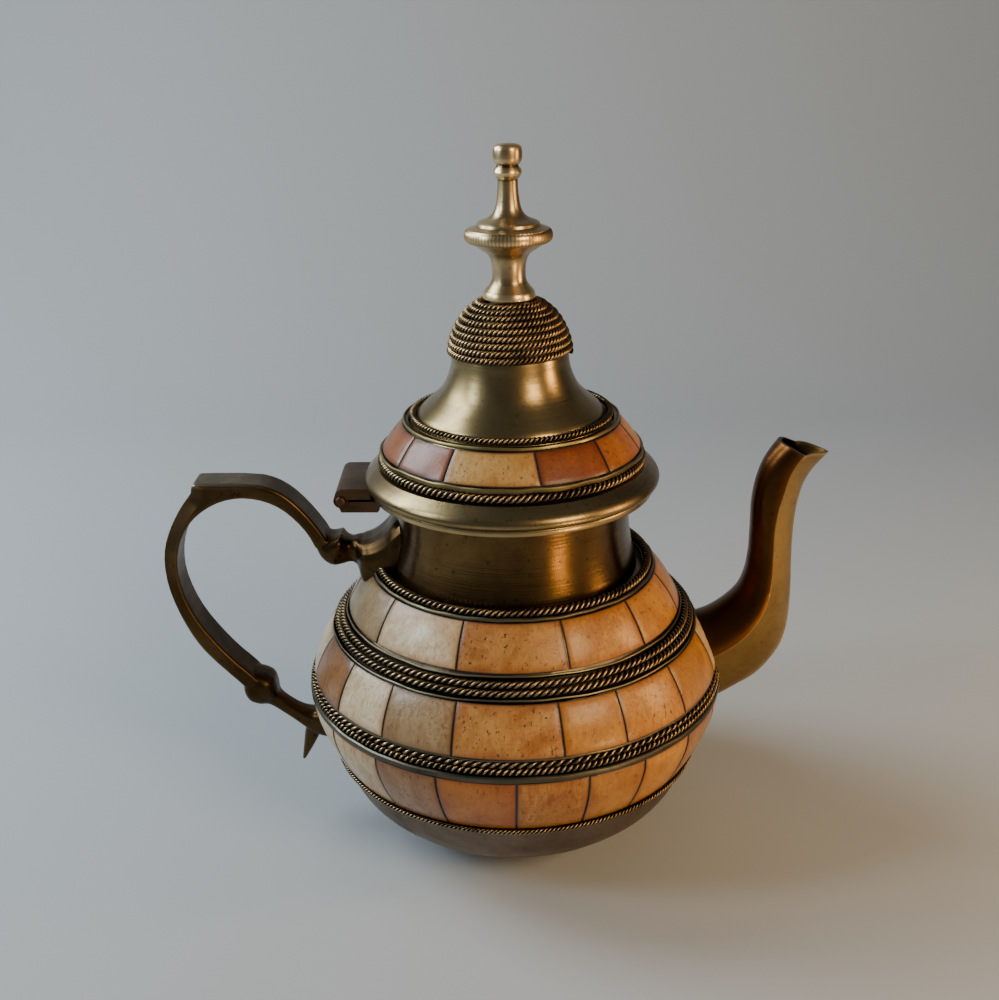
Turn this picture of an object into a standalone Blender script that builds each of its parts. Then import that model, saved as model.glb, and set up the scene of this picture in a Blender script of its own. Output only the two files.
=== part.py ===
"""Brass and bone teapot with a hinged lid.

Frame: metres, +Z up, the spout points to +X, the handle to -X.
The origin is the centre of the flat foot the pot stands on.
"""
import math

import bmesh
import bpy
from mathutils import Matrix, Vector

MM = 0.001
GAP = 0.3

# Foot, body and neck, all as (radius, height) in millimetres.
FOOT_RADIUS = 31.0
DISH_WALL = 1.4
TILE_THICKNESS = 2.2
SHELL_DEPTH = 2.6
SHELL_WALL = 1.3
BODY_SKIN = [
    (31.0, 0.0), (44.0, 8.4), (54.0, 16.3), (58.0, 22.5), (60.5, 29.0), (61.8, 32.2), (66.4, 41.5),
    (69.3, 50.5), (68.2, 60.6), (65.6, 68.0), (60.8, 75.6), (55.4, 81.9), (51.9, 88.7), (46.9, 95.0),
]
NECK_TOP = 121.8
NECK_SKIN = [(40.8, 95.0), (40.5, 97.5), (39.4, 101.4), (38.2, 107.7), (38.0, 114.0), (38.3, NECK_TOP)]
NECK_WALL = 1.4
RIM_INNER = 36.9
RIM_OUTER = 45.9
RIM_BOTTOM = 122.2
RIM_TOP = 124.2

# Twisted wire ropes: centre radius, centre height, rope diameter.
BASE_ROPE = (61.7, 31.1, 1.4)
BELLY_ROPES = ((68.9, 56.65, 2.4), (68.4, 59.2, 2.2))
SHOULDER_ROPE_DIAMETER = 2.4
NECK_ROPE = (42.4, 96.6, 2.5)
LID_RIM_ROPE = (41.6, 132.7, 2.9)
LID_UPPER_ROPE = (31.4, 147.2, 2.3)
DOME_ROPE_DIAMETER = 1.85
DOME_ROPE_TURNS = 8

# Bone tiles: seam directions in degrees from the -Y side towards the spout.
LOWER_SEAMS = [-57.7, -38.9, -20.9, -0.7, 17.9, 33.9, 50.8]
LOWER_COUNT = 20
MIDDLE_SEAMS = [-56.2, -37.6, -17.1, 11.4, 28.9, 50.5, 75.0]
MIDDLE_COUNT = 17
SHOULDER_SEAMS = [-52.4, -19.3, 16.6, 46.3, 75.0]
SHOULDER_COUNT = 11
LID_SEAMS = [-58.4, -30.1, 10.9, 44.9, 76.5]
LID_COUNT = 11
JOINT_WIDTH = 0.5

# Lid hinge: the pin lies along Y.
HINGE_X = -54.5
HINGE_Z = 122.0
HINGE_HALF_WIDTH = 13.0
BARREL_RADIUS = 2.4
PIN_RADIUS = 1.37
PIN_HOLE_RADIUS = 1.45

# Handle outline in the XZ plane, and its width along Y.
HANDLE_WIDTH = 12.4


def material(name, colour, metallic, roughness):
    """One plain Principled material per sub-part."""
    made = bpy.data.materials.new(name)
    made.use_nodes = True
    shader = made.node_tree.nodes["Principled BSDF"]
    shader.inputs["Base Color"].default_value = (*colour, 1.0)
    shader.inputs["Metallic"].default_value = metallic
    shader.inputs["Roughness"].default_value = roughness
    made.diffuse_color = (*colour, 1.0)
    return made


BRASS = (0.60, 0.44, 0.20)
DARK_BRASS = (0.28, 0.17, 0.08)
DULL_METAL = (0.42, 0.36, 0.31)
ROPE_METAL = (0.34, 0.26, 0.14)
BONES = [
    (0.80, 0.66, 0.45), (0.74, 0.50, 0.28), (0.83, 0.72, 0.54),
    (0.70, 0.45, 0.24), (0.78, 0.60, 0.38), (0.66, 0.40, 0.22),
]


def finish(name, verts, faces, colour, metallic=1.0, roughness=0.35, angle=35.0):
    """Make a named object from millimetre coordinates, facing out and smoothed by angle."""
    mesh = bpy.data.meshes.new(name)
    mesh.from_pydata([Vector(v) * MM for v in verts], [], faces)
    work = bmesh.new()
    work.from_mesh(mesh)
    bmesh.ops.recalc_face_normals(work, faces=work.faces[:])
    work.to_mesh(mesh)
    work.free()
    mesh.materials.append(material(name, colour, metallic, roughness))
    mesh.shade_smooth()
    mesh.set_sharp_from_angle(angle=math.radians(angle))
    made = bpy.data.objects.new(name, mesh)
    bpy.context.scene.collection.objects.link(made)
    return made


def bone_colour(index):
    return BONES[(index * 5 + 2) % len(BONES)]


def turned(name, outline, steps, colour, **look):
    """A full turn of a closed (radius, height) outline about Z."""
    verts = []
    rings = []
    for radius, height in outline:
        if radius < 1e-6:
            verts.append((0.0, 0.0, height))
            rings.append([len(verts) - 1] * steps)
            continue
        ring = []
        for step in range(steps):
            turn = 2.0 * math.pi * step / steps
            verts.append((radius * math.cos(turn), radius * math.sin(turn), height))
            ring.append(len(verts) - 1)
        rings.append(ring)
    faces = []
    for index, ring in enumerate(rings):
        other = rings[(index + 1) % len(rings)]
        for step in range(steps):
            after = (step + 1) % steps
            corners = [ring[step], ring[after], other[after], other[step]]
            distinct = list(dict.fromkeys(corners))
            if len(distinct) > 2:
                faces.append(distinct)
    return finish(name, verts, faces, colour, **look)


def swept_tile(name, outline, start, end, colour, **look):
    """Part of a turn of a closed outline about Z with flat ends, start and end in degrees."""
    steps = max(2, int(math.ceil((end - start) / 9.0)))
    verts = []
    for step in range(steps + 1):
        turn = math.radians(start + (end - start) * step / steps - 90.0)
        for radius, height in outline:
            verts.append((radius * math.cos(turn), radius * math.sin(turn), height))
    count = len(outline)
    faces = [list(range(count)), list(range(steps * count, (steps + 1) * count))]
    for step in range(steps):
        for index in range(count):
            after = (index + 1) % count
            low = step * count
            high = low + count
            faces.append([low + index, low + after, high + after, high + index])
    return finish(name, verts, faces, colour, **look)


END_SPACE = 1.5


def between(points, low, high):
    """The part of a skin line between two heights, with both ends interpolated."""
    def at(height):
        for (r0, z0), (r1, z1) in zip(points, points[1:]):
            if z0 <= height <= z1:
                share = (height - z0) / (z1 - z0)
                return (r0 + (r1 - r0) * share, height)
        return points[-1]
    inside = [p for p in points if low + END_SPACE < p[1] < high - END_SPACE]
    return [at(low)] + inside + [at(high)]


def inset(points, depth):
    """Offset a skin line inwards, square to its own direction."""
    moved = []
    for index, (radius, height) in enumerate(points):
        before = Vector(points[max(index - 1, 0)])
        after = Vector(points[min(index + 1, len(points) - 1)])
        along = (after - before).normalized()
        moved.append((radius - along.y * depth, height + along.x * depth))
    return moved


def wall(points, near, far):
    """Closed outline of a wall between two depths under a skin line."""
    return inset(points, near) + inset(points, far)[::-1]


def circle(radius, height, diameter, sides):
    """Closed round outline for a ring of wire."""
    made = []
    for side in range(sides):
        turn = 2.0 * math.pi * side / sides
        made.append((radius + diameter / 2 * math.cos(turn), height + diameter / 2 * math.sin(turn)))
    return made


def rope_ring(name, rope, steps=32):
    radius, height, diameter = rope
    return turned(name, circle(radius, height, diameter, 5), steps, ROPE_METAL, angle=80.0, roughness=0.45)


def apply_boolean(target, cutter, operation):
    """Cut or join with the exact solver and keep the result as a plain mesh."""
    step = target.modifiers.new("cut", "BOOLEAN")
    step.operation = operation
    step.solver = "EXACT"
    step.object = cutter
    graph = bpy.context.evaluated_depsgraph_get()
    made = bpy.data.meshes.new_from_object(target.evaluated_get(graph))
    target.modifiers.clear()
    old = target.data
    kept = old.materials[0]
    target.data = made
    made.materials.clear()
    made.materials.append(kept)
    for face in made.polygons:
        face.material_index = 0
    bpy.data.meshes.remove(old)
    work = bmesh.new()
    work.from_mesh(made)
    bmesh.ops.recalc_face_normals(work, faces=work.faces[:])
    work.to_mesh(made)
    work.free()
    made.shade_smooth()
    made.set_sharp_from_angle(angle=math.radians(35.0))
    made.name = target.name


def discard(thing):
    """Remove a helper solid and everything that belonged to it."""
    mesh = thing.data
    used = mesh.materials[0]
    bpy.data.objects.remove(thing)
    bpy.data.meshes.remove(mesh)
    bpy.data.materials.remove(used)


def box(name, low, high, colour=BRASS, **look):
    x0, y0, z0 = low
    x1, y1, z1 = high
    verts = [(x, y, z) for z in (z0, z1) for y in (y0, y1) for x in (x0, x1)]
    faces = [(0, 1, 3, 2), (4, 5, 7, 6), (0, 1, 5, 4), (2, 3, 7, 6), (0, 2, 6, 4), (1, 3, 7, 5)]
    return finish(name, verts, faces, colour, **look)


def cylinder_y(name, centre_x, centre_z, radius, start, end, sides, colour=BRASS, **look):
    """A solid round bar along Y."""
    verts = []
    for height in (start, end):
        for side in range(sides):
            turn = 2.0 * math.pi * side / sides
            verts.append((centre_x + radius * math.cos(turn), height, centre_z + radius * math.sin(turn)))
    faces = [list(range(sides)), list(range(sides, 2 * sides))]
    for side in range(sides):
        after = (side + 1) % sides
        faces.append([side, after, sides + after, sides + side])
    return finish(name, verts, faces, colour, **look)


def loft(name, sections, colour, inner=None, **look):
    """Skin over equal-count sections; an inner set makes it a tube with open ends."""
    count = len(sections[0])
    total = len(sections)
    verts = [p for ring in sections for p in ring]
    faces = []

    def skin(first):
        for step in range(total - 1):
            for index in range(count):
                after = (index + 1) % count
                low = first + step * count
                high = low + count
                faces.append([low + index, low + after, high + after, high + index])

    skin(0)
    if inner is None:
        faces.append(list(range(count)))
        faces.append(list(range((total - 1) * count, total * count)))
        return finish(name, verts, faces, colour, **look)
    start = len(verts)
    verts += [p for ring in inner for p in ring]
    skin(start)
    last = (total - 1) * count
    for index in range(count):
        after = (index + 1) % count
        faces.append([index, after, start + after, start + index])
        faces.append([last + index, last + after, start + last + after, start + last + index])
    return finish(name, verts, faces, colour, **look)


for old_object in list(bpy.data.objects):
    bpy.data.objects.remove(old_object)
for old_material in list(bpy.data.materials):
    bpy.data.materials.remove(old_material)

made_objects = {}
ROUND = 32


def keep(made):
    made_objects[made.name] = made
    return made


# Vessel bottom: a raised dish with the flat foot the pot stands on.
dish_line = between(BODY_SKIN, 0.0, 29.6)
dish_inner = inset(dish_line, DISH_WALL)
dish_inner = [p for p in dish_inner if p[1] > DISH_WALL + 0.3]
dish_outline = [(0.0, 0.0)] + dish_line + dish_inner[::-1] + [(FOOT_RADIUS - 1.0, DISH_WALL), (0.0, DISH_WALL)]
keep(turned("base_dish", dish_outline, ROUND, DULL_METAL, roughness=0.5))

# Bowl and shoulder: the thin vessel wall that the tiles are set on.
bowl_line = between(BODY_SKIN, 31.2, 75.2)
bowl = keep(turned("bowl_shell", wall(bowl_line, SHELL_DEPTH, SHELL_DEPTH + SHELL_WALL), ROUND, DULL_METAL))
shoulder_line = between(BODY_SKIN, 76.2, 94.0)
keep(turned("shoulder_shell", wall(shoulder_line, SHELL_DEPTH, SHELL_DEPTH + SHELL_WALL), ROUND, DULL_METAL))

# Neck: a straight collar with a small foot flange, and the flat mouth rim on top.
neck_inner = [(r - NECK_WALL, z) for r, z in NECK_SKIN]
neck_outline = [(43.4, 93.6), (43.4, 95.0)] + NECK_SKIN + neck_inner[::-1] + [(39.4, 93.6)]
keep(turned("neck_collar", neck_outline, ROUND, BRASS))
rim_outline = [(RIM_INNER, RIM_BOTTOM), (RIM_OUTER - 0.4, RIM_BOTTOM), (RIM_OUTER, RIM_BOTTOM + 0.6),
               (RIM_OUTER, RIM_TOP - 0.4), (RIM_OUTER - 0.4, RIM_TOP), (RIM_INNER, RIM_TOP)]
keep(turned("mouth_rim", rim_outline, ROUND, BRASS))

# Trim on the body: flat strips, recessed channels and the ropes lying in them.
strip_outline = [(44.3, 95.4), (46.6, 95.4), (46.8, 96.1), (46.4, 96.5), (44.3, 96.5)]
keep(turned("neck_strip", strip_outline, ROUND, DARK_BRASS))
channel_low = Vector((60.6, 75.9))
channel_high = Vector((55.5, 81.8))
slope = (channel_high - channel_low).normalized()
out = Vector((slope.y, -slope.x))


def on_slope(along, depth):
    """Point at a distance up the shoulder channel and a depth below its face."""
    p = channel_low + slope * along - out * depth
    return (p.x, p.y)


span = (channel_high - channel_low).length
shoulder_channel = keep(turned("shoulder_channel", [
    on_slope(0.0, 0.0), on_slope(0.9, 0.0), on_slope(0.9, 1.5), on_slope(span - 1.2, 1.5),
    on_slope(span - 1.2, 0.0), on_slope(span, 0.0), on_slope(span, 2.2), on_slope(0.0, 2.2),
], ROUND, DARK_BRASS))
rope_a = on_slope(2.35, 0.0)
rope_b = on_slope(5.1, 0.0)
shoulder_rope_lower = keep(rope_ring("shoulder_rope_lower", (*rope_a, SHOULDER_ROPE_DIAMETER)))
shoulder_rope_upper = keep(rope_ring("shoulder_rope_upper", (*rope_b, SHOULDER_ROPE_DIAMETER)))

belly_outline = [(69.2, 53.1), (69.0, 55.0), (67.4, 55.0), (66.8, 60.2), (66.2, 60.2), (66.95, 53.1)]
belly_channel = keep(turned("belly_channel", belly_outline, ROUND, DARK_BRASS))
belly_rope_lower = keep(rope_ring("belly_rope_lower", BELLY_ROPES[0]))
belly_rope_upper = keep(rope_ring("belly_rope_upper", BELLY_ROPES[1]))
keep(rope_ring("base_rope", BASE_ROPE))
neck_rope = keep(rope_ring("neck_rope", NECK_ROPE))


def seam_list(seams, count):
    """Seam directions all the way round: the given ones, then even spaces."""
    rest = count - len(seams) + 1
    total = 360.0 - (seams[-1] - seams[0])
    extra = [seams[-1] + total * step / rest for step in range(1, rest)]
    return seams + extra + [seams[0] + 360.0]


def tile_row(prefix, outline, seams, radius):
    """Separate tiles between the seams, each shorter by half a joint at both ends."""
    half_joint = math.degrees(JOINT_WIDTH / 2.0 / radius)
    for index, (start, end) in enumerate(zip(seams, seams[1:])):
        name = "%s_%02d" % (prefix, index + 1)
        keep(swept_tile(name, outline, start + half_joint, end - half_joint, bone_colour(index),
                        metallic=0.0, roughness=0.4))


def tile_band(name, outline, seams, steps_between):
    """A joined ring of tiles with a shallow groove at every seam."""
    verts = []
    angles = []
    for start, end in zip(seams, seams[1:]):
        angles.append((start, True))
        for step in range(1, steps_between):
            angles.append((start + (end - start) * step / steps_between, False))
    count = len(outline)
    half = count // 2
    plan = []
    for angle, seam in angles:
        if seam:
            plan += [(angle - 0.35, 0.0), (angle, 0.6), (angle + 0.35, 0.0)]
        else:
            plan.append((angle, 0.0))
    for angle, groove in plan:
        turn = math.radians(angle - 90.0)
        for index, (radius, height) in enumerate(outline):
            r = radius - groove if index < half else radius
            verts.append((r * math.cos(turn), r * math.sin(turn), height))
    faces = []
    total = len(plan)
    for step in range(total):
        low = step * count
        high = ((step + 1) % total) * count
        for index in range(count):
            after = (index + 1) % count
            faces.append([low + index, low + after, high + after, high + index])
    return keep(finish(name, verts, faces, BONES[0], metallic=0.0, roughness=0.4))


lower_line = between(BODY_SKIN, 32.2, 52.3)
lower_band = tile_band("lower_tile_band", wall(lower_line, 0.0, TILE_THICKNESS),
                       seam_list(LOWER_SEAMS, LOWER_COUNT), 2)
middle_line = between(BODY_SKIN, 61.2, 75.3)
middle_band = tile_band("middle_tile_band", wall(middle_line, 0.0, TILE_THICKNESS),
                        seam_list(MIDDLE_SEAMS, MIDDLE_COUNT), 3)
shoulder_tile_line = between(BODY_SKIN, 82.2, 94.9)
tile_row("shoulder_tile", wall(shoulder_tile_line, 0.0, TILE_THICKNESS),
         seam_list(SHOULDER_SEAMS, SHOULDER_COUNT), 50.0)

# Spout: a cast tube, round on the pot side, with a crease each side and a blunt keel outside.
# Each station pairs a point on the inner bend with one on the outer bend, and a half width.
SPOUT_STATIONS = [
    ((56.0, 73.0), (58.0, 36.0), 11.5), ((62.3, 74.2), (70.3, 42.1), 11.5),
    ((66.7, 76.0), (76.7, 46.0), 11.2), ((71.6, 79.6), (84.0, 51.0), 10.6),
    ((75.5, 84.0), (90.4, 59.8), 9.8), ((77.6, 90.0), (93.0, 69.0), 9.0),
    ((78.4, 96.5), (93.5, 81.0), 8.1), ((78.5, 102.0), (93.1, 92.0), 7.4),
    ((78.5, 108.5), (92.9, 102.0), 7.0), ((78.5, 114.8), (93.3, 110.5), 6.8),
    ((79.4, 121.6), (94.2, 116.5), 6.8), ((81.2, 127.6), (95.6, 121.3), 7.0),
    ((83.6, 132.0), (98.2, 125.9), 7.3), ((86.1, 135.3), (102.7, 131.2), 7.9),
]
SPOUT_WALL = 1.3


def spout_section(station, grow, sides=16):
    """Closed section: half round towards the pot, a blunt keel on the far side."""
    (x0, z0), (x1, z1), half_width = station
    centre = Vector(((x0 + x1) / 2.0, (z0 + z1) / 2.0))
    across = Vector((x1 - x0, z1 - z0)) / 2.0
    length = across.length + grow
    across.normalize()
    width = half_width + grow
    ring = []
    for side in range(sides):
        turn = 2.0 * math.pi * side / sides
        y = width * math.sin(turn)
        share = abs(math.sin(turn))
        if math.cos(turn) >= 0.0:
            reach = length * (1.0 - share ** 1.7)
        else:
            reach = -length * math.sqrt(max(0.0, 1.0 - share * share))
        p = centre + across * reach
        ring.append((p.x, y, p.y))
    return ring


outer_rings = [spout_section(s, 0.0) for s in SPOUT_STATIONS]
inner_rings = [spout_section(s, -SPOUT_WALL) for s in SPOUT_STATIONS]
spout = keep(loft("spout", outer_rings, BRASS, inner=inner_rings))
grown_rings = [spout_section(s, GAP + 0.1) for s in SPOUT_STATIONS[:6]]

core_line = inset(between(BODY_SKIN, 20.0, 94.0), SHELL_DEPTH - GAP)
core = turned("core_cutter", [(0.0, core_line[0][1])] + core_line + [(0.0, core_line[-1][1])], 2 * ROUND, BRASS)
apply_boolean(spout, core, "DIFFERENCE")
for ring_part in (lower_band, middle_band, belly_channel, belly_rope_lower, belly_rope_upper):
    notch = loft("notch_cutter", grown_rings, BRASS)
    apply_boolean(ring_part, notch, "DIFFERENCE")
    discard(notch)
discard(core)

# Holes through the vessel wall behind the spout, which strain the tea.
HOLE_RADIUS = 1.9
HOLE_SPOTS = [(0.0, 0.0)]
for spot in range(6):
    bearing = math.radians(60.0 * spot)
    HOLE_SPOTS.append((5.6 * math.cos(bearing), 5.6 * math.sin(bearing)))
HOLE_CENTRE_Z = 57.5
for spot_y, spot_z in HOLE_SPOTS:
    verts = []
    for reach in (58.0, 72.0):
        for side in range(8):
            turn = 2.0 * math.pi * (side + 0.5) / 8
            y = spot_y + HOLE_RADIUS * math.cos(turn)
            z = HOLE_CENTRE_Z + spot_z + HOLE_RADIUS * math.sin(turn)
            verts.append((reach, y, z))
    faces = [list(range(8)), list(range(8, 16))]
    faces += [[side, (side + 1) % 8, 8 + (side + 1) % 8, 8 + side] for side in range(8)]
    drill = finish("hole_cutter", verts, faces, BRASS)
    apply_boolean(bowl, drill, "DIFFERENCE")
    discard(drill)

# Handle: one casting, an arched strap with a thumb rest, a knuckle and an arm at each end.
STRAP_OUTER = [
    (-91.5, 50.5), (-96.5, 56.0), (-102.0, 62.0), (-106.2, 67.5), (-109.6, 74.0), (-112.6, 82.0),
    (-114.6, 90.0), (-115.2, 97.5), (-114.6, 103.5), (-112.6, 109.0), (-110.0, 114.0),
    (-107.2, 118.2), (-104.2, 121.4), (-103.2, 125.5), (-102.0, 126.0), (-83.0, 125.6),
    (-77.2, 123.8), (-72.3, 120.6), (-67.4, 115.3), (-62.6, 108.6), (-60.6, 104.6),
]
STRAP_INNER = [
    (-64.6, 102.2), (-66.9, 107.6), (-70.6, 112.6), (-75.0, 116.8), (-80.0, 119.4), (-85.8, 120.7),
    (-91.5, 120.4), (-97.0, 118.6), (-102.3, 115.2), (-106.6, 110.6), (-109.4, 105.0),
    (-110.8, 98.5), (-110.8, 91.5), (-108.8, 83.6), (-105.6, 76.2), (-100.6, 68.6),
    (-95.4, 62.0), (-90.8, 57.4), (-87.4, 53.4),
]


def slab(name, outline, half_width, colour, ease=0.9):
    """An XZ outline given a width along Y, with eased long edges."""
    count = len(outline)
    middle = [Vector(p) for p in outline]
    eased = []
    for index, p in enumerate(middle):
        before = middle[index - 1]
        after = middle[(index + 1) % count]
        along = (after - before).normalized()
        eased.append(p + Vector((along.y, -along.x)) * -ease * 0.8)
    verts = []
    for y, ring in ((-half_width, eased), (-half_width + ease, middle), (half_width - ease, middle),
                    (half_width, eased)):
        verts += [(p.x, y, p.y) for p in ring]
    faces = [list(range(count)), list(range(3 * count, 4 * count))]
    for layer in range(3):
        for index in range(count):
            after = (index + 1) % count
            low = layer * count
            faces.append([low + index, low + after, low + count + after, low + count + index])
    return finish(name, verts, faces, colour)


def rod(name, stations, colour, sides=12):
    """A rounded bar in the XZ plane: (x, z, heading in degrees, half height, half width)."""
    rings = []
    for x, z, heading, half_height, half_width in stations:
        turn = math.radians(heading)
        up = Vector((-math.sin(turn), math.cos(turn)))
        ring = []
        for side in range(sides):
            bearing = 2.0 * math.pi * (side + 0.5) / sides
            c = math.cos(bearing)
            s = math.sin(bearing)
            c = math.copysign(abs(c) ** 0.75, c)
            s = math.copysign(abs(s) ** 0.75, s)
            ring.append((x + up.x * half_height * s, half_width * c, z + up.y * half_height * s))
        rings.append(ring)
    return loft(name, rings, colour)


handle = slab("handle", STRAP_OUTER + STRAP_INNER, HANDLE_WIDTH / 2.0, DARK_BRASS)
keep(handle)
upper_arm = rod("upper_arm", [
    (-64.6, 107.6, -60.0, 1.6, 3.4), (-62.6, 104.2, -55.0, 3.0, 5.6), (-60.6, 102.4, -40.0, 4.6, 6.8),
    (-58.2, 101.2, -20.0, 5.6, 7.0), (-55.8, 100.6, -8.0, 4.6, 5.8), (-53.6, 100.4, -2.0, 3.2, 4.2),
    (-50.8, 100.2, 0.0, 3.0, 4.0), (-47.6, 99.6, 0.0, 3.6, 4.8), (-44.6, 98.8, 0.0, 6.4, 6.4),
    (-42.0, 98.0, 0.0, 10.0, 8.4), (-39.0, 97.4, 0.0, 12.0, 9.6), (-36.0, 97.4, 0.0, 12.4, 10.0),
], DARK_BRASS)
lower_arm = rod("lower_arm", [
    (-93.4, 57.0, -50.0, 1.6, 3.2), (-91.4, 54.0, -50.0, 3.0, 5.2), (-89.6, 51.6, -50.0, 5.0, 6.4),
    (-87.6, 49.2, -49.0, 5.8, 6.8), (-85.6, 46.8, -48.0, 4.6, 5.6), (-83.4, 44.6, -46.0, 3.4, 4.2),
    (-79.0, 40.6, -42.0, 3.1, 3.8), (-75.0, 37.2, -38.0, 3.6, 4.4), (-71.4, 34.8, -25.0, 5.2, 5.6),
    (-67.6, 34.0, 0.0, 6.6, 6.8), (-62.0, 34.0, 0.0, 6.8, 7.0), (-56.0, 34.0, 0.0, 6.4, 6.8),
], DARK_BRASS)
tail = rod("tail", [
    (-71.4, 38.0, -90.0, 2.6, 3.0), (-72.6, 32.6, -92.0, 3.6, 4.2), (-73.6, 28.0, -98.0, 2.6, 3.4),
    (-74.6, 23.6, -100.0, 1.6, 2.4), (-75.4, 19.4, -101.0, 0.6, 1.0),
], DARK_BRASS)
for joined in (upper_arm, lower_arm, tail):
    apply_boolean(handle, joined, "UNION")
    discard(joined)
skin = [(r + GAP, z) for r, z in BODY_SKIN if z < 30.0]
skin += [(62.9, 30.0), (62.9, 32.6)]
skin += [(r + GAP, z) for r, z in BODY_SKIN if z > 33.0]
skin += [(47.1, 96.9), (44.2, 98.3), (41.0, 98.6), (38.6, 107.8), (38.4, 119.0)]
skin_cutter = turned("skin_cutter", [(0.0, 0.0)] + skin + [(0.0, 119.0)], 2 * ROUND, BRASS)
apply_boolean(handle, skin_cutter, "DIFFERENCE")

# Hinge: two leaves with interleaved knuckles on one pin; the lower leaf is fixed to the neck.
KNUCKLE_EDGES = [-13.0, -8.0, -2.6, 2.6, 8.0, 13.0]
lid_spans = [(KNUCKLE_EDGES[i], KNUCKLE_EDGES[i + 1]) for i in (0, 2, 4)]
pot_spans = [(KNUCKLE_EDGES[i], KNUCKLE_EDGES[i + 1]) for i in (1, 3)]


def hinge_leaf(name, low, high, own, other, trim_radius):
    """A flat leaf with its own knuckles joined on and room cut for the other leaf's knuckles."""
    leaf = box(name, low, high, DARK_BRASS)
    for start, end in own:
        knuckle = cylinder_y("knuckle", HINGE_X, HINGE_Z, BARREL_RADIUS, start + GAP / 2, end - GAP / 2, 12)
        apply_boolean(leaf, knuckle, "UNION")
        discard(knuckle)
    for start, end in other:
        room = cylinder_y("room", HINGE_X, HINGE_Z, BARREL_RADIUS + 0.4, start - GAP / 2, end + GAP / 2, 12)
        apply_boolean(leaf, room, "DIFFERENCE")
        discard(room)
    hole = cylinder_y("hole", HINGE_X, HINGE_Z, PIN_HOLE_RADIUS, -20.0, 20.0, 16)
    apply_boolean(leaf, hole, "DIFFERENCE")
    discard(hole)
    trim = turned("trim", [(0.0, 110.0), (trim_radius, 110.0), (trim_radius, 130.0), (0.0, 130.0)],
                  2 * ROUND, BRASS)
    apply_boolean(leaf, trim, "DIFFERENCE")
    discard(trim)
    return keep(leaf)


edge = HINGE_HALF_WIDTH - GAP / 2
pot_leaf = hinge_leaf("hinge_pot_leaf", (HINGE_X + 0.2, -edge, 117.7), (-34.0, edge, 121.6), pot_spans, lid_spans, 38.7)
lid_leaf = hinge_leaf("hinge_lid_leaf", (HINGE_X + 0.2, -edge, 122.4), (-44.0, edge, 125.9), lid_spans, pot_spans, 47.95)
keep(cylinder_y("hinge_pin", HINGE_X, HINGE_Z, PIN_RADIUS, -13.6, 13.6, 16, DARK_BRASS))
discard(skin_cutter)

# Lid: flanged shell with its plug collar, strips, ropes and tiles.
lid_outline = [
    (34.6, 124.6), (46.9, 124.6), (47.5, 125.3), (47.6, 126.1), (47.1, 127.4), (45.8, 128.8), (43.4, 130.8),
    (39.7, 130.8), (39.5, 134.6), (32.6, 143.4), (29.8, 145.0), (29.0, 143.9), (31.6, 142.2),
    (38.2, 133.6), (38.2, 126.0), (34.6, 126.0),
]
keep(turned("lid_shell", lid_outline, ROUND, BRASS))
collar_outline = [(34.6, 118.6), (35.9, 118.6), (35.9, 124.2), (34.6, 124.2)]
keep(turned("lid_collar", collar_outline, ROUND, BRASS))
keep(turned("lid_lower_strip", [(40.5, 134.4), (41.9, 134.4), (42.2, 135.8), (41.95, 136.0)], ROUND, DARK_BRASS))
keep(turned("lid_upper_strip", [(33.0, 144.1), (34.6, 145.2), (34.3, 146.0), (32.9, 146.1)], ROUND, DARK_BRASS))
keep(rope_ring("lid_rim_rope", LID_RIM_ROPE))
keep(rope_ring("lid_upper_rope", LID_UPPER_ROPE))
lid_tile_outline = [(41.5, 136.2), (38.3, 140.5), (34.8, 144.7), (33.4, 143.6), (36.8, 139.4), (40.1, 135.1)]
tile_row("lid_tile", lid_tile_outline, seam_list(LID_SEAMS, LID_COUNT), 38.0)

# Bell: a spun concave cone that carries the rope dome.
bell_outline = [
    (28.3, 145.4), (32.2, 145.4), (32.2, 145.8), (29.8, 145.8), (29.6, 147.9), (24.8, 152.1),
    (20.8, 156.8), (19.0, 161.5), (18.5, 165.2), (17.2, 165.2), (17.7, 161.2), (19.6, 156.0),
    (23.9, 151.1), (28.3, 147.1),
]
keep(turned("lid_bell", bell_outline, ROUND, BRASS))

# Dome: a thin cap wound with one length of rope from its edge to the finial.
cap_outline = [
    (17.3, 165.6), (16.9, 169.0), (15.3, 173.0), (12.5, 177.2), (8.4, 180.6), (0.0, 182.6),
    (0.0, 181.3), (7.6, 179.4), (11.4, 176.3), (14.1, 172.3), (15.6, 168.8), (16.0, 165.6),
]
keep(turned("dome_cap", cap_outline, 24, DARK_BRASS))
DOME_LINE = [(18.65, 166.9), (18.25, 169.7), (17.4, 172.6), (16.0, 175.6), (14.0, 178.6), (10.4, 181.7)]


def along_line(points, share):
    """Point at a share of a polyline's length."""
    lengths = [(Vector(b) - Vector(a)).length for a, b in zip(points, points[1:])]
    left = share * sum(lengths)
    for (a, b), length in zip(zip(points, points[1:]), lengths):
        if left <= length:
            return Vector(a).lerp(Vector(b), left / length)
        left -= length
    return Vector(points[-1])


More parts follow.
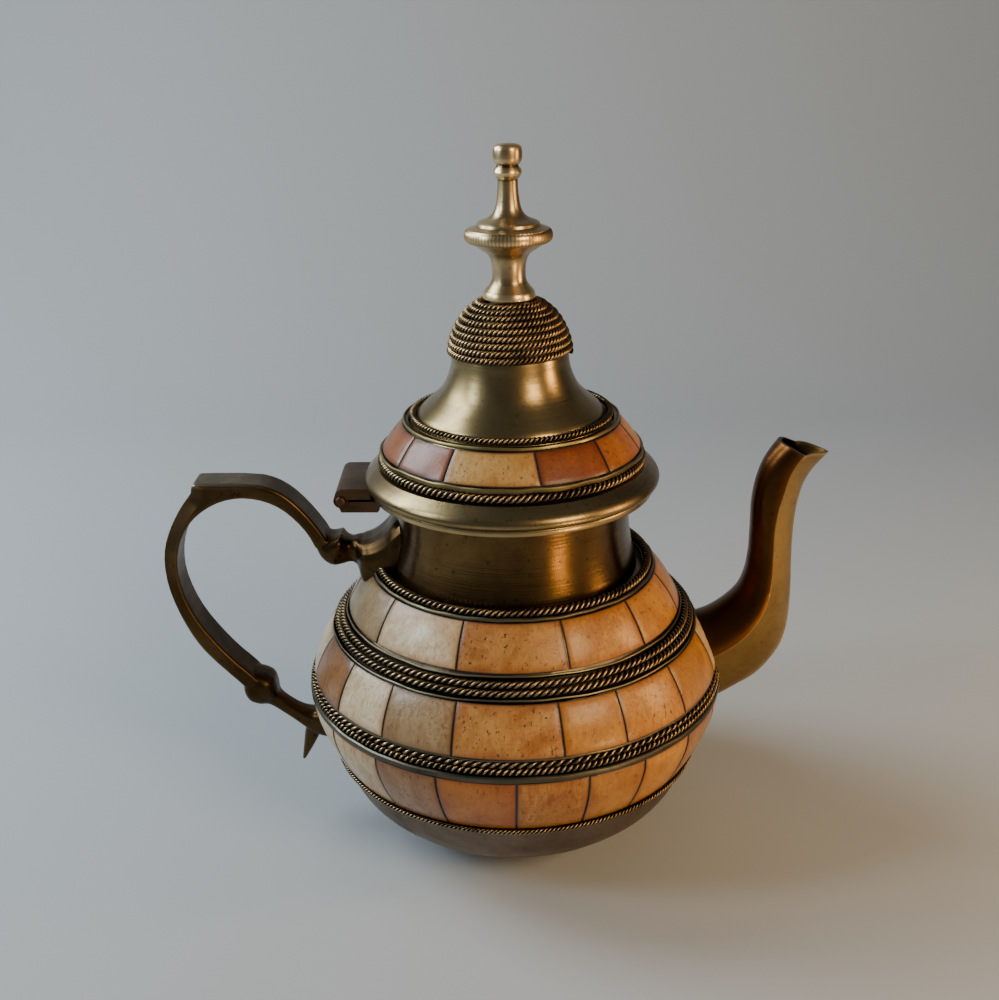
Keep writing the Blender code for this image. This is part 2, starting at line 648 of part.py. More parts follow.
steps_per_turn = 16
total_steps = DOME_ROPE_TURNS * steps_per_turn
coil_rings = []
for step in range(total_steps + 1):
    share = step / total_steps
    spot = along_line(DOME_LINE, share)
    ahead = along_line(DOME_LINE, min(1.0, share + 0.01))
    behind = along_line(DOME_LINE, max(0.0, share - 0.01))
    rise = (ahead - behind).normalized()
    outward = Vector((rise.y, -rise.x))
    turn = 2.0 * math.pi * step / steps_per_turn
    ring = []
    for side in range(4):
        bearing = 2.0 * math.pi * side / 4
        p = spot + (rise * math.sin(bearing) + outward * math.cos(bearing)) * DOME_ROPE_DIAMETER / 2
        ring.append((p.x * math.cos(turn), p.x * math.sin(turn), p.y))
    coil_rings.append(ring)
keep(loft("dome_rope", coil_rings, ROPE_METAL, angle=80.0))

# Finial: one turned solid with a knurled disc, a waisted stem and a small knob.
finial_outline = [
    (0.0, 183.0), (7.6, 183.0), (8.2, 184.1), (7.6, 186.0), (5.3, 188.6), (5.2, 193.4), (6.4, 197.0),
    (10.0, 199.6), (13.3, 201.9), (13.4, 204.0), (10.0, 205.4), (9.4, 206.4), (5.0, 208.5), (3.6, 211.0),
    (3.0, 216.0), (3.05, 219.6), (4.2, 220.8), (4.2, 221.8), (3.2, 223.4), (4.0, 224.8), (4.2, 226.6),
    (3.2, 228.8), (0.0, 229.4),
]
keep(turned("finial", finial_outline, 18, BRASS))

# The lid turns on its pin, so everything on it hangs from one pivot.
pivot = bpy.data.objects.new("lid_pivot", None)
pivot.location = Vector((HINGE_X, 0.0, HINGE_Z)) * MM
bpy.context.scene.collection.objects.link(pivot)
lid_parts = [name for name in made_objects if name.startswith("lid_")]
lid_parts += ["hinge_lid_leaf", "dome_cap", "dome_rope", "finial"]
bpy.context.view_layer.update()
for name in lid_parts:
    piece = made_objects[name]
    piece.data.transform(Matrix.Translation(-pivot.location))
    piece.parent = pivot
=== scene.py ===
import math
import random

import bmesh
import bpy
import numpy as np
from mathutils import Matrix, Vector


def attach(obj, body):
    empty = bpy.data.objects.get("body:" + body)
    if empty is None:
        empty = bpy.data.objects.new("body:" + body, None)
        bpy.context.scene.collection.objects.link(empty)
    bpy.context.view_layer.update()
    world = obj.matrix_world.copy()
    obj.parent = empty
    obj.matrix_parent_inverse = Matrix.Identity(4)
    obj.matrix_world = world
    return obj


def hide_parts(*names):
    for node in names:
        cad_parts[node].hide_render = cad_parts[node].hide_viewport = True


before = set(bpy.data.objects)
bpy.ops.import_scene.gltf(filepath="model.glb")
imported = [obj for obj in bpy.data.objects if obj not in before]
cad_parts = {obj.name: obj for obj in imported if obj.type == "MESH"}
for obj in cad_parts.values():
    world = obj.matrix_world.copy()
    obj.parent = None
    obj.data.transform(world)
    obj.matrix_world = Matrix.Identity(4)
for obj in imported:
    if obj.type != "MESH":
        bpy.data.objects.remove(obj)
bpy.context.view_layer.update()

MM = 0.001

# ------------------------
# Stage, lights and camera.
# A pale floor that sweeps up into a pale backdrop, a broad cool window and a
# smaller pane on the left, and small warm lights in front and on the right.
EYE = Vector((-4.2, -382.8, 264.6)) * MM
LOOK_DOWN = math.radians(21.16)
LEAN = math.radians(1.07)
FOCAL_SHARE = 1250.0 / 999.0

level_right = Vector((1.0, 0.0, 0.0))
ahead = Vector((0.0, math.cos(LOOK_DOWN), -math.sin(LOOK_DOWN)))
level_up = level_right.cross(ahead)
eye_right = level_right * math.cos(LEAN) - level_up * math.sin(LEAN)
eye_up = level_right * math.sin(LEAN) + level_up * math.cos(LEAN)
camera_data = bpy.data.cameras.new("camera")
camera_data.sensor_width = 36.0
camera_data.lens = 36.0 * FOCAL_SHARE
camera_data.clip_start = 0.01
camera = bpy.data.objects.new("camera", camera_data)
bpy.context.scene.collection.objects.link(camera)
turn = Matrix((eye_right, eye_up, -ahead)).transposed()
camera.matrix_world = Matrix.Translation(EYE) @ turn.to_4x4()
bpy.context.scene.camera = camera


def socket(shader, name, value):
    """Set a constant on one of a shader's own sockets."""
    shader.inputs[name].default_value = value


def select_only(piece):
    """Select one object and make it the active one."""
    bpy.ops.object.select_all(action="DESELECT")
    piece.select_set(True)
    bpy.context.view_layer.objects.active = piece


def apply_modifier(piece, kind, **settings):
    """Give a piece one modifier, set it and apply it."""
    select_only(piece)
    step = piece.modifiers.new(kind.lower(), kind)
    for name, value in settings.items():
        setattr(step, name, value)
    bpy.ops.object.modifier_apply(modifier=step.name)


floor_material = bpy.data.materials.new("pale_floor")
floor_material.use_nodes = True
floor_shader = floor_material.node_tree.nodes["Principled BSDF"]
socket(floor_shader, "Base Color", (0.40, 0.42, 0.43, 1.0))
socket(floor_shader, "Roughness", 0.75)
bpy.ops.object.select_all(action="DESELECT")
bpy.ops.mesh.primitive_plane_add(size=6.0, location=(0.0, -2.2, -0.0002))
floor = bpy.context.object
floor.name = "floor"
bpy.ops.object.mode_set(mode="EDIT")
bpy.ops.mesh.select_all(action="DESELECT")
bpy.ops.object.mode_set(mode="OBJECT")
for edge in floor.data.edges:
    ends = [floor.data.vertices[i].co.y for i in edge.vertices]
    edge.select = min(ends) > 2.9
bpy.ops.object.mode_set(mode="EDIT")
bpy.ops.mesh.extrude_region_move(TRANSFORM_OT_translate={"value": (0.0, 0.0, 3.0)})
bpy.ops.object.mode_set(mode="OBJECT")
apply_modifier(floor, "BEVEL", width=0.35, segments=12)
bpy.ops.object.shade_smooth()
floor.data.materials.append(floor_material)

world = bpy.data.worlds.new("studio")
bpy.context.scene.world = world
world.use_nodes = True
sky = world.node_tree.nodes["Background"]
sky.inputs["Color"].default_value = (0.72, 0.76, 0.80, 1.0)
sky.inputs["Strength"].default_value = 0.16


def area_light(name, place, aim, size, power, colour):
    """A rectangular lamp turned to face a point."""
    data = bpy.data.lights.new(name, "AREA")
    data.shape = "RECTANGLE"
    data.size, data.size_y = size
    data.energy = power
    data.color = colour
    lamp = bpy.data.objects.new(name, data)
    bpy.context.scene.collection.objects.link(lamp)
    lamp.location = place
    lamp.rotation_euler = (Vector(aim) - Vector(place)).to_track_quat("-Z", "Y").to_euler()


area_light("window", (-0.72, 0.22, 0.66), (0.0, 0.0, 0.12), (0.40, 0.60), 9.5, (0.80, 0.91, 1.0))
area_light("pane", (-0.80, -0.24, 0.56), (0.0, 0.0, 0.12), (0.15, 0.34), 3.6, (0.74, 0.88, 1.0))
area_light("room", (0.62, -0.70, 0.62), (0.0, 0.0, 0.1), (0.34, 0.34), 5.6, (1.0, 0.74, 0.43))
area_light("glow", (0.24, -0.27, 0.03), (0.02, 0.0, 0.10), (0.07, 0.05), 0.30, (1.0, 0.58, 0.22))
area_light("spill", (0.50, -0.10, 0.20), (0.0, 0.0, 0.12), (0.10, 0.20), 1.1, (1.0, 0.60, 0.26))

# ------------------------
# Vessel bottom: a raised dish of thin brass with the flat foot the pot stands
# on. It is worn dull and grey brown, with faint rings left by the stake.
RING_STEPS = 144
SHARP = math.radians(32.0)
MERGE = 0.00001
body_line = [
    (31.0, 0.0), (37.5, 4.2), (44.0, 8.4), (49.4, 12.2), (54.0, 16.3), (56.6, 19.8), (58.6, 23.6),
    (60.5, 29.0), (61.8, 32.2), (64.4, 36.6), (66.6, 41.5), (68.4, 46.2), (69.3, 50.5), (69.3, 54.6),
    (68.2, 60.6), (67.2, 64.4), (65.6, 68.0), (63.5, 71.9), (60.8, 75.6), (58.0, 78.9), (55.4, 81.9),
    (53.8, 85.4), (51.9, 88.7), (49.6, 92.0), (46.9, 95.0),
]


def skin_part(low, high, pieces):
    """Points on the pot's outer line between two heights, evenly spaced."""
    made = []
    for step in range(pieces + 1):
        height = low + (high - low) * step / pieces
        for (r0, z0), (r1, z1) in zip(body_line, body_line[1:]):
            if z0 <= height <= z1:
                share = (height - z0) / (z1 - z0)
                made.append((r0 + (r1 - r0) * share, height))
                break
    return made


def smoothed(points, rounds=1):
    """Round off a line by cutting its corners, with both ends kept."""
    for _ in range(rounds):
        made = [points[0]]
        for (r0, z0), (r1, z1) in zip(points, points[1:]):
            made.append((r0 * 0.75 + r1 * 0.25, z0 * 0.75 + z1 * 0.25))
            made.append((r0 * 0.25 + r1 * 0.75, z0 * 0.25 + z1 * 0.75))
        made.append(points[-1])
        points = made
    return points


def inset(points, depth):
    """Offset a line towards the axis, square to its own direction."""
    moved = []
    for index, (radius, height) in enumerate(points):
        before = Vector(points[max(index - 1, 0)])
        after = Vector(points[min(index + 1, len(points) - 1)])
        along = (after - before).normalized()
        moved.append((radius - along.y * depth, height + along.x * depth))
    return moved


def enter_edit():
    """Go to edit mode with the whole mesh selected."""
    bpy.ops.object.mode_set(mode="EDIT")
    bpy.ops.mesh.select_all(action="SELECT")


def leave_edit(merge=True):
    """Merge doubled points, turn every face outwards and go back to object mode."""
    bpy.ops.mesh.select_all(action="SELECT")
    if merge:
        bpy.ops.mesh.remove_doubles(threshold=MERGE)
    bpy.ops.mesh.normals_make_consistent(inside=False)
    bpy.ops.object.mode_set(mode="OBJECT")


def drawn_line(name, points):
    """Draw a line of edges through the points, one vertex pulled out of the last, and stay in edit mode."""
    bpy.ops.object.select_all(action="DESELECT")
    bpy.ops.mesh.primitive_plane_add(size=0.001, location=(0.0, 0.0, 0.0))
    piece = bpy.context.object
    piece.name = name
    piece.data.name = name
    enter_edit()
    bpy.ops.mesh.merge(type="CENTER")
    bpy.ops.transform.translate(value=Vector(points[0]) * MM)
    for here, there in zip(points, points[1:]):
        step = (Vector(there) - Vector(here)) * MM
        bpy.ops.mesh.extrude_region_move(TRANSFORM_OT_translate={"value": step})
    bpy.ops.mesh.select_all(action="SELECT")
    return piece


def lathe(name, outline, steps=RING_STEPS, edge=0.2):
    """Spin a closed (radius, height) outline right round the pot's axis and ease its sharp edges."""
    points = [(r, 0.0, z) for r, z in outline]
    if outline[0][0] > 0.001:
        points.append(points[0])
    piece = drawn_line(name, points)
    bpy.ops.mesh.spin(steps=steps, angle=-math.tau, center=(0.0, 0.0, 0.0), axis=(0.0, 0.0, 1.0))
    leave_edit()
    if edge:
        apply_modifier(piece, "BEVEL", width=edge * MM, segments=2, limit_method="ANGLE", angle_limit=SHARP)
    bpy.ops.object.shade_smooth_by_angle(angle=SHARP)
    return piece


class Nodes:
    """Short hand for laying out one material's nodes."""

    def __init__(self, name):
        self.material = bpy.data.materials.new(name)
        self.material.use_nodes = True
        self.tree = self.material.node_tree
        self.shader = self.tree.nodes["Principled BSDF"]
        self.place = self.tree.nodes.new("ShaderNodeTexCoord").outputs["Object"]

    def add(self, kind, inputs, **settings):
        """Add a node with its settings, and a value or a link for each input. Give back its outputs."""
        node = self.tree.nodes.new("ShaderNode" + kind)
        for name, value in settings.items():
            setattr(node, name, value)
        for name, value in inputs.items():
            if isinstance(value, bpy.types.NodeSocket):
                self.tree.links.new(value, node.inputs[name])
            else:
                node.inputs[name].default_value = value
        return node.outputs

    def mapped(self, scale, shift=(0.0, 0.0, 0.0), turn=(0.0, 0.0, 0.0)):
        inputs = {"Vector": self.place, "Scale": scale, "Location": shift, "Rotation": turn}
        return self.add("Mapping", inputs)["Vector"]

    def noise(self, vector, scale, detail=4.0, rough=0.55, warp=0.0):
        inputs = {"Vector": vector, "Scale": scale, "Detail": detail, "Roughness": rough, "Distortion": warp}
        return self.add("TexNoise", inputs)["Fac"]

    def ramp(self, source, stops):
        node = self.tree.nodes.new("ShaderNodeValToRGB")
        band = node.color_ramp
        while len(band.elements) < len(stops):
            band.elements.new(0.5)
        for element, (position, colour) in zip(band.elements, stops):
            element.position = position
            if isinstance(colour, (int, float)):
                colour = (colour, colour, colour)
            element.color = (*colour, 1.0)
        self.tree.links.new(source, node.inputs["Fac"])
        return node.outputs["Color"]

    def mix(self, share, first, second, blend="MIX"):
        inputs = {0: share, 6: first, 7: second}
        for index in (6, 7):
            if isinstance(inputs[index], (int, float)):
                inputs[index] = (inputs[index],) * 3
            if isinstance(inputs[index], tuple):
                inputs[index] = (*inputs[index], 1.0)
        return self.add("Mix", inputs, data_type="RGBA", blend_type=blend)[2]

    def math(self, operation, first, second):
        return self.add("Math", {0: first, 1: second}, operation=operation)[0]

    def attribute(self, name):
        return self.add("Attribute", {}, attribute_name=name)["Fac"]

    def bump(self, height, strength, distance=0.0002, before=None):
        inputs = {"Height": height, "Strength": strength, "Distance": distance}
        if before is not None:
            inputs["Normal"] = before
        return self.add("Bump", inputs)["Normal"]

    def into(self, name, source):
        self.tree.links.new(source, self.shader.inputs[name])


def mark_relief(piece, rounds=2):
    """Store on each vertex how far it stands up (over 0.5) or lies in a hollow (under 0.5)."""
    mesh = piece.data
    count = len(mesh.vertices)
    place = np.empty(count * 3)
    mesh.vertices.foreach_get("co", place)
    place = place.reshape(-1, 3)
    normal = np.empty(count * 3)
    mesh.vertices.foreach_get("normal", normal)
    normal = normal.reshape(-1, 3)
    ends = np.empty(len(mesh.edges) * 2, dtype=np.int64)
    mesh.edges.foreach_get("vertices", ends)
    one, two = ends.reshape(-1, 2).T
    way = place[two] - place[one]
    length = np.maximum(np.linalg.norm(way, axis=1), 1e-9)
    rise_one = -(way * normal[one]).sum(axis=1) / length
    rise_two = (way * normal[two]).sum(axis=1) / length
    number = np.maximum(np.bincount(one, minlength=count) + np.bincount(two, minlength=count), 1)
    value = (np.bincount(one, rise_one, count) + np.bincount(two, rise_two, count)) / number
    for _ in range(rounds):
        near = (np.bincount(one, value[two], count) + np.bincount(two, value[one], count)) / number
        value = (value + near) / 2.0
    layer = mesh.attributes.new("relief", "FLOAT", "POINT")
    layer.data.foreach_set("value", (0.5 + value).astype(np.float32))


def mark(piece, layer, rule):
    """Store one number on each vertex, worked out from its place in millimetres."""
    values = piece.data.attributes.new(layer, "FLOAT", "POINT")
    for vertex in piece.data.vertices:
        values.data[vertex.index].value = rule(vertex.co / MM)


def aged_metal(name, bright, worn, dark, shine=(0.22, 0.42), grime=0.5, lathe_lines=0.5, relief=True,
               tints=(), spun=False, edge_colour=None):
    """Old hand-rubbed brass: tarnish in clouds, turning lines, pits, black hollows and rubbed edges."""
    n = Nodes(name)
    clouds = n.noise(n.mapped((1, 1, 1)), 42.0, 8.0, 0.66, 0.5)
    blotch = n.noise(n.mapped((1, 1, 1), (3, 5, 1)), 13.0, 3.0, 0.5)
    lines = n.noise(n.mapped((7, 7, 900)), 1.0, 3.0, 0.6)
    strokes = n.noise(n.mapped((22, 22, 420), (2, 1, 5)), 1.0, 5.0, 0.7, 0.3)
    specks = n.noise(n.mapped((1, 1, 1), (9, 2, 7)), 520.0, 3.0, 0.6)
    patina = n.ramp(clouds, [(0.34, bright), (0.50, worn), (0.66, dark)])
    large = n.ramp(blotch, [(0.38, bright), (0.62, worn)])
    colour = n.mix(0.40, patina, large)
    colour = n.mix(n.ramp(strokes, [(0.58, 0.0), (0.70, 0.55 * min(1.0, lathe_lines))]), colour, dark)
    colour = n.mix(n.ramp(specks, [(0.62, 0.0), (0.72, grime)]), colour, dark)
    if relief:
        stands = n.attribute("relief")
        black = tuple(c * 0.35 for c in dark)
        shiny = edge_colour or tuple(min(1.0, c * 1.5) for c in bright)
        colour = n.mix(n.ramp(stands, [(0.40, 0.9), (0.48, 0.0)]), colour, black)
        rubbed = n.ramp(stands, [(0.535, 0.0), (0.62, 0.85)])
        rubbed = n.mix(1.0, rubbed, n.ramp(clouds, [(0.3, 1.0), (0.7, 0.35)]), "MULTIPLY")
        colour = n.mix(rubbed, colour, shiny)
    for layer, low, high, shade in tints:
        stops = [(low, shade), (high, 1.0)] if low < high else [(high, 1.0), (low, shade)]
        colour = n.mix(1.0, colour, n.ramp(n.attribute(layer), stops), "MULTIPLY")
    n.into("Base Color", colour)
    socket(n.shader, "Metallic", 1.0)
    if spun:
        socket(n.shader, "Anisotropic", 0.5)
        socket(n.shader, "Anisotropic Rotation", 0.25)
        n.into("Tangent", n.add("Tangent", {}, direction_type="RADIAL", axis="Z")["Tangent"])
    gloss, matt = shine
    n.into("Roughness", n.ramp(clouds, [(0.33, gloss), (0.66, matt)]))
    fine = n.bump(lines, 0.10 * lathe_lines, 0.0003)
    n.into("Normal", n.bump(clouds, 0.16, 0.0008, fine))
    return n.material


def dress(piece, finish, body, slot_name, *nodes):
    """Give a finished piece its material, its body and the solids it stands for. The slot name is not used.
    """
    piece.data.materials.clear()
    piece.data.materials.append(finish)
    mark_relief(piece)
    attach(piece, body)
    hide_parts(*nodes)
    return piece


dull_brass = aged_metal("dull_brass", (0.23, 0.175, 0.13), (0.16, 0.118, 0.085), (0.07, 0.052, 0.038),
                        (0.36, 0.56), 0.5)
dish_line = smoothed(skin_part(0.0, 29.6, 12), 1)
dish_inner = [p for p in inset(dish_line, 1.4) if p[1] > 1.7]
dish_outline = [(0.0, 0.0)] + dish_line + dish_inner[::-1] + [(30.0, 1.4), (0.0, 1.4)]
base_dish = lathe("vessel_bottom", dish_outline, edge=0.3)
dress(base_dish, dull_brass, "pot", "dull_brass", "base_dish")

# ------------------------
# Vessel wall: thin brass, raised by hand, that every tile and strip is set on.
# It is hidden but for its inside, and tea has stained that dark.
tea_stained = aged_metal("tea_stained_brass", (0.34, 0.26, 0.17), (0.22, 0.16, 0.10), (0.09, 0.06, 0.04),
                         (0.4, 0.6), relief=False)
for name in ("bowl_shell", "shoulder_shell"):
    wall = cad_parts[name]
    wall.data.materials.clear()
    wall.data.materials.append(tea_stained)

# ------------------------
# Base rope: one thin twisted rope of wires laid in the seam between the vessel
# bottom and the lowest tiles. Grime fills its grooves and the crests are worn.
ROPE_LAY = 1.95
LONG_LAY = 2.65


def twisted_rope(name, length, diameter, lead, sides=8, cuts=15, strands=3):
    """A straight rope of two or three round strands along X, one Array link repeated and then twisted."""
    strand = diameter * (0.27 if strands == 2 else 0.236)
    out = diameter * (0.235 if strands == 2 else 0.266)
    link = lead / cuts
    count = max(4, int(round(length / link)))
    link = length / count
    bpy.ops.object.select_all(action="DESELECT")
    bpy.ops.mesh.primitive_circle_add(vertices=sides, radius=strand * MM, rotation=(0.0, math.pi / 2, 0.0))
    rope = bpy.context.object
    rope.name = name
    rope.data.name = name
    bpy.ops.object.transform_apply(location=True, rotation=True, scale=True)
    enter_edit()
    seats = [math.tau * index / strands for index in range(strands)]
    seats = [Vector((0.0, math.cos(bearing), math.sin(bearing))) * out * MM for bearing in seats]
    bpy.ops.transform.translate(value=seats[0])
    for here, there in zip(seats, seats[1:]):
        bpy.ops.mesh.duplicate_move(TRANSFORM_OT_translate={"value": there - here})
    bpy.ops.mesh.select_all(action="SELECT")
    bpy.ops.mesh.extrude_region_move(TRANSFORM_OT_translate={"value": (link * MM, 0.0, 0.0)})
    bpy.ops.object.mode_set(mode="OBJECT")
    apply_modifier(rope, "ARRAY", count=count, use_relative_offset=False, use_constant_offset=True,
                   constant_offset_displace=(link * MM, 0.0, 0.0), use_merge_vertices=True,
                   merge_threshold=MERGE)
    mark(rope, "crest", lambda p: math.hypot(p.y, p.z) / (diameter * 0.5))
    apply_modifier(rope, "SIMPLE_DEFORM", deform_method="TWIST", deform_axis="X",
                   angle=-math.tau * length / lead)
    return rope


def rope_ring(name, node, body, radius, height, diameter, lay, opening=0.0, strands=3):
    """Bend a twisted rope into a finished ring round the axis, open by some degrees on the spout side."""
    turn = math.tau - math.radians(opening)
    length = radius * turn
    turns = max(3, round(length / (diameter * lay)))
    rope = twisted_rope(name, length, diameter, length / turns, strands=strands)
    apply_modifier(rope, "SIMPLE_DEFORM", deform_method="BEND", deform_axis="Z", angle=turn)
    enter_edit()
    bpy.ops.transform.translate(value=(0.0, -radius * MM, height * MM))
    leave_edit()
    rope.data.transform(Matrix.Rotation(math.pi / 2 + math.radians(opening) / 2, 4, "Z"))
    bpy.ops.object.shade_smooth()
    dress(rope, rope_brass, body, "rope_brass", node)


def rope_metal(name, crest, body, groove):
    """Twisted brass wire: rubbed bright where it stands up, black where polish can't reach."""
    n = Nodes(name)
    height = n.attribute("crest")
    patches = n.noise(n.mapped((1, 1, 1)), 85.0, 4.0, 0.6)
    broad = n.noise(n.mapped((1, 1, 1), (4, 4, 4)), 22.0, 3.0, 0.5)
    colour = n.ramp(height, [(0.60, groove), (0.88, body), (1.0, crest)])
    colour = n.mix(n.ramp(patches, [(0.46, 0.0), (0.66, 0.75)]), colour, groove)
    colour = n.mix(n.ramp(broad, [(0.50, 0.0), (0.68, 0.5)]), colour, groove)
    n.into("Base Color", colour)
    socket(n.shader, "Metallic", 1.0)
    n.into("Roughness", n.ramp(height, [(0.6, 0.7), (0.95, 0.30)]))
    n.into("Normal", n.bump(patches, 0.2, 0.0004))
    return n.material


rope_brass = rope_metal("rope_brass", (0.56, 0.40, 0.21), (0.15, 0.10, 0.05), (0.012, 0.010, 0.008))
rope_ring("base_rope_wire", "base_rope", "pot", 61.85, 31.0, 1.6, 2.6)

# ------------------------
# Lower tiles: twenty pieces of polished bone, sawn to fit and cemented round
# the belly, with dark filler in the joints and along the edges.
random.seed(41)
FILLER_DEPTH = 0.45
TILE_EDGE = 0.22
JOINT = 0.32
EDGE_REACH = 5.0
TILE_THICKNESS = 2.0
SEAM_SLANT = 0.7
LOWER_SEAMS = [-57.7, -38.9, -20.9, -0.7, 17.9, 33.9, 50.8]


def all_seams(seen, count):
    """Seam directions all the way round: the measured ones, then nearly even ones."""
    rest = count - len(seen) + 1
    total = 360.0 - (seen[-1] - seen[0])
    made = list(seen)
    for step in range(1, rest):
        made.append(seen[-1] + total * (step + random.uniform(-0.12, 0.12)) / rest)
    return made + [seen[0] + 360.0]


def bone_tile(name, line, start, end, thickness, slant):
    """One tile: its face line spun through its width, made solid inwards, with its edges rubbed round."""
    middle = sum(r for r, z in line) / len(line)
    half = JOINT / 2.0 / middle
    first = math.radians(start - 90.0) + half
    last = math.radians(end - 90.0) - half
    points = [(r * math.cos(first), r * math.sin(first), z) for r, z in line]
    tile = drawn_line(name, points)
    steps = max(4, int(math.degrees(last - first) / 2.2))
    bpy.ops.mesh.spin(steps=steps, angle=-(last - first), center=(0.0, 0.0, 0.0), axis=(0.0, 0.0, 1.0))
    bpy.ops.object.mode_set(mode="OBJECT")
    low = line[0][1]
    high = line[-1][1]
    work = bmesh.new()
    work.from_mesh(tile.data)
    bmesh.ops.recalc_face_normals(work, faces=work.faces[:])
    work.faces.ensure_lookup_table()
    seen = work.faces[len(work.faces) // 2]
    centre = seen.calc_center_median()
    if seen.normal.dot(Vector((centre.x, centre.y, 0.0))) < 0.0:
        bmesh.ops.reverse_faces(work, faces=work.faces[:])
    beside = work.verts.layers.float.new("beside")
    above = work.verts.layers.float.new("above")
    for vertex in work.verts:
        x, y, z = vertex.co / MM
        bearing = math.atan2(y, x)
        while bearing < first - 0.01:
            bearing += math.tau
        across = math.hypot(x, y)
        share = (bearing - first) / (last - first)
        up = (z - low) / (high - low)
        side = min(bearing - first, last - bearing) * across
        slope = math.hypot(high - low, line[0][0] - line[-1][0])
        vertex[beside] = max(0.0, side) / EDGE_REACH
        vertex[above] = max(0.0, min(up, 1.0 - up) * slope) / EDGE_REACH
        shift = (slant[0] + (slant[1] - slant[0]) * share) * (up - 0.5)
        vertex.co = Matrix.Rotation(shift / across, 3, "Z") @ vertex.co
    work.to_mesh(tile.data)
    work.free()
    apply_modifier(tile, "SOLIDIFY", thickness=thickness * MM, offset=-1.0)
    apply_modifier(tile, "BEVEL", width=TILE_EDGE * MM, segments=2, limit_method="ANGLE",
                   angle_limit=math.radians(50.0))
    bpy.ops.object.shade_smooth_by_angle(angle=math.radians(40.0))
    return tile


POLISH = {
    "Coat Weight": 0.16, "Specular IOR Level": 0.38, "Coat Roughness": 0.17, "Subsurface Weight": 0.05,
    "Subsurface Scale": 0.002,
}


def bone(name, light, deep, flecks, streak):
    """Polished bone: tea-stained clouds, upright grain, short dark pores, fine scratches and grimy edges."""
    stain = (0.10, 0.035, 0.012)
    n = Nodes(name)
    here = [random.uniform(-9, 9) for _ in range(3)]
    clouds = n.noise(n.mapped((1, 1, 1), here), 60.0, 8.0, 0.66, 1.0)
    soft = n.noise(n.mapped((1, 1, 0.6), here), 95.0, 4.0, 0.6, 0.4)
    grain = n.noise(n.mapped((760, 760, 56), here), 1.0, 6.0, 0.7, 0.6)
    pores = n.noise(n.mapped((850, 850, 390), here), 1.0, 2.0, 0.6)
    spots = n.noise(n.mapped((1, 1, 1), here), 820.0, 2.0, 0.5)
    lie = (random.uniform(-0.6, 0.6), random.uniform(-0.9, 0.9), 0.0)
    scratch = n.noise(n.mapped((70, 1700, 1700), here, turn=lie), 1.0, 4.0, 0.65)
    where = n.noise(n.mapped((1, 1, 1), here), 120.0, 2.0, 0.5)
    colour = n.ramp(clouds, [(0.40, light), (0.58, deep)])
    warm = tuple(c * k for c, k in zip(deep, (0.76, 0.52, 0.34)))
    colour = n.mix(n.ramp(grain, [(0.44, 0.0), (0.62, min(1.0, 1.2 * streak))]), colour, warm)
    colour = n.mix(n.ramp(soft, [(0.46, 0.0), (0.66, 0.5)]), colour, light)
    colour = n.mix(n.ramp(scratch, [(0.50, 0.0), (0.70, 0.45 * streak)]), colour, warm)
    colour = n.mix(n.ramp(pores, [(0.63, 0.0), (0.68, min(1.0, 1.4 * flecks))]), colour, stain)
    crowded = n.ramp(where, [(0.42, 0.1), (0.6, 1.0)])
    patch = n.mix(1.0, n.ramp(spots, [(0.63, 0.0), (0.69, flecks)]), crowded, "MULTIPLY")
    colour = n.mix(patch, colour, stain)
    rim = n.math("MINIMUM", n.attribute("beside"), n.attribute("above"))
    ragged = n.math("SUBTRACT", rim, n.math("MULTIPLY", clouds, 0.30))
    colour = n.mix(n.ramp(ragged, [(0.02, 0.45), (0.20, 0.16), (0.50, 0.0)]), colour, warm)
    colour = n.mix(n.ramp(rim, [(0.03, 0.95), (0.07, 0.45), (0.14, 0.0)]), colour, (0.045, 0.024, 0.013))
    n.into("Base Color", colour)
    n.into("Roughness", n.ramp(clouds, [(0.3, 0.26), (0.7, 0.42)]))
    for part, value in POLISH.items():
        socket(n.shader, part, value)
    fine = n.bump(grain, 0.28, 0.0003)
    fine = n.bump(scratch, 0.26, 0.0002, fine)
    n.into("Normal", n.bump(pores, 0.20, 0.0002, fine))
    return n.material


CREAM = ((0.53, 0.33, 0.115), (0.41, 0.21, 0.048))
PALE = ((0.64, 0.52, 0.34), (0.50, 0.35, 0.18))
TAN = ((0.44, 0.215, 0.040), (0.32, 0.135, 0.018))
GOLD = ((0.53, 0.26, 0.045), (0.39, 0.165, 0.022))
AMBER = ((0.50, 0.26, 0.075), (0.33, 0.130, 0.027))
ORANGE = ((0.41, 0.155, 0.022), (0.29, 0.09, 0.010))
BURNT = ((0.30, 0.085, 0.010), (0.17, 0.036, 0.005))
PINK = ((0.34, 0.19, 0.09), (0.24, 0.115, 0.045))
BROWN = ((0.30, 0.14, 0.05), (0.20, 0.08, 0.025))
GREY = ((0.35, 0.25, 0.13), (0.26, 0.165, 0.072))
ANY_TONE = [CREAM, TAN, AMBER, PALE, PINK, GOLD, CREAM, ORANGE, BROWN, GREY]
filler_dark = aged_metal("joint_filler", (0.05, 0.035, 0.025), (0.035, 0.024, 0.017), (0.02, 0.014, 0.01))
filler_dark.node_tree.nodes["Principled BSDF"].inputs["Metallic"].default_value = 0.0


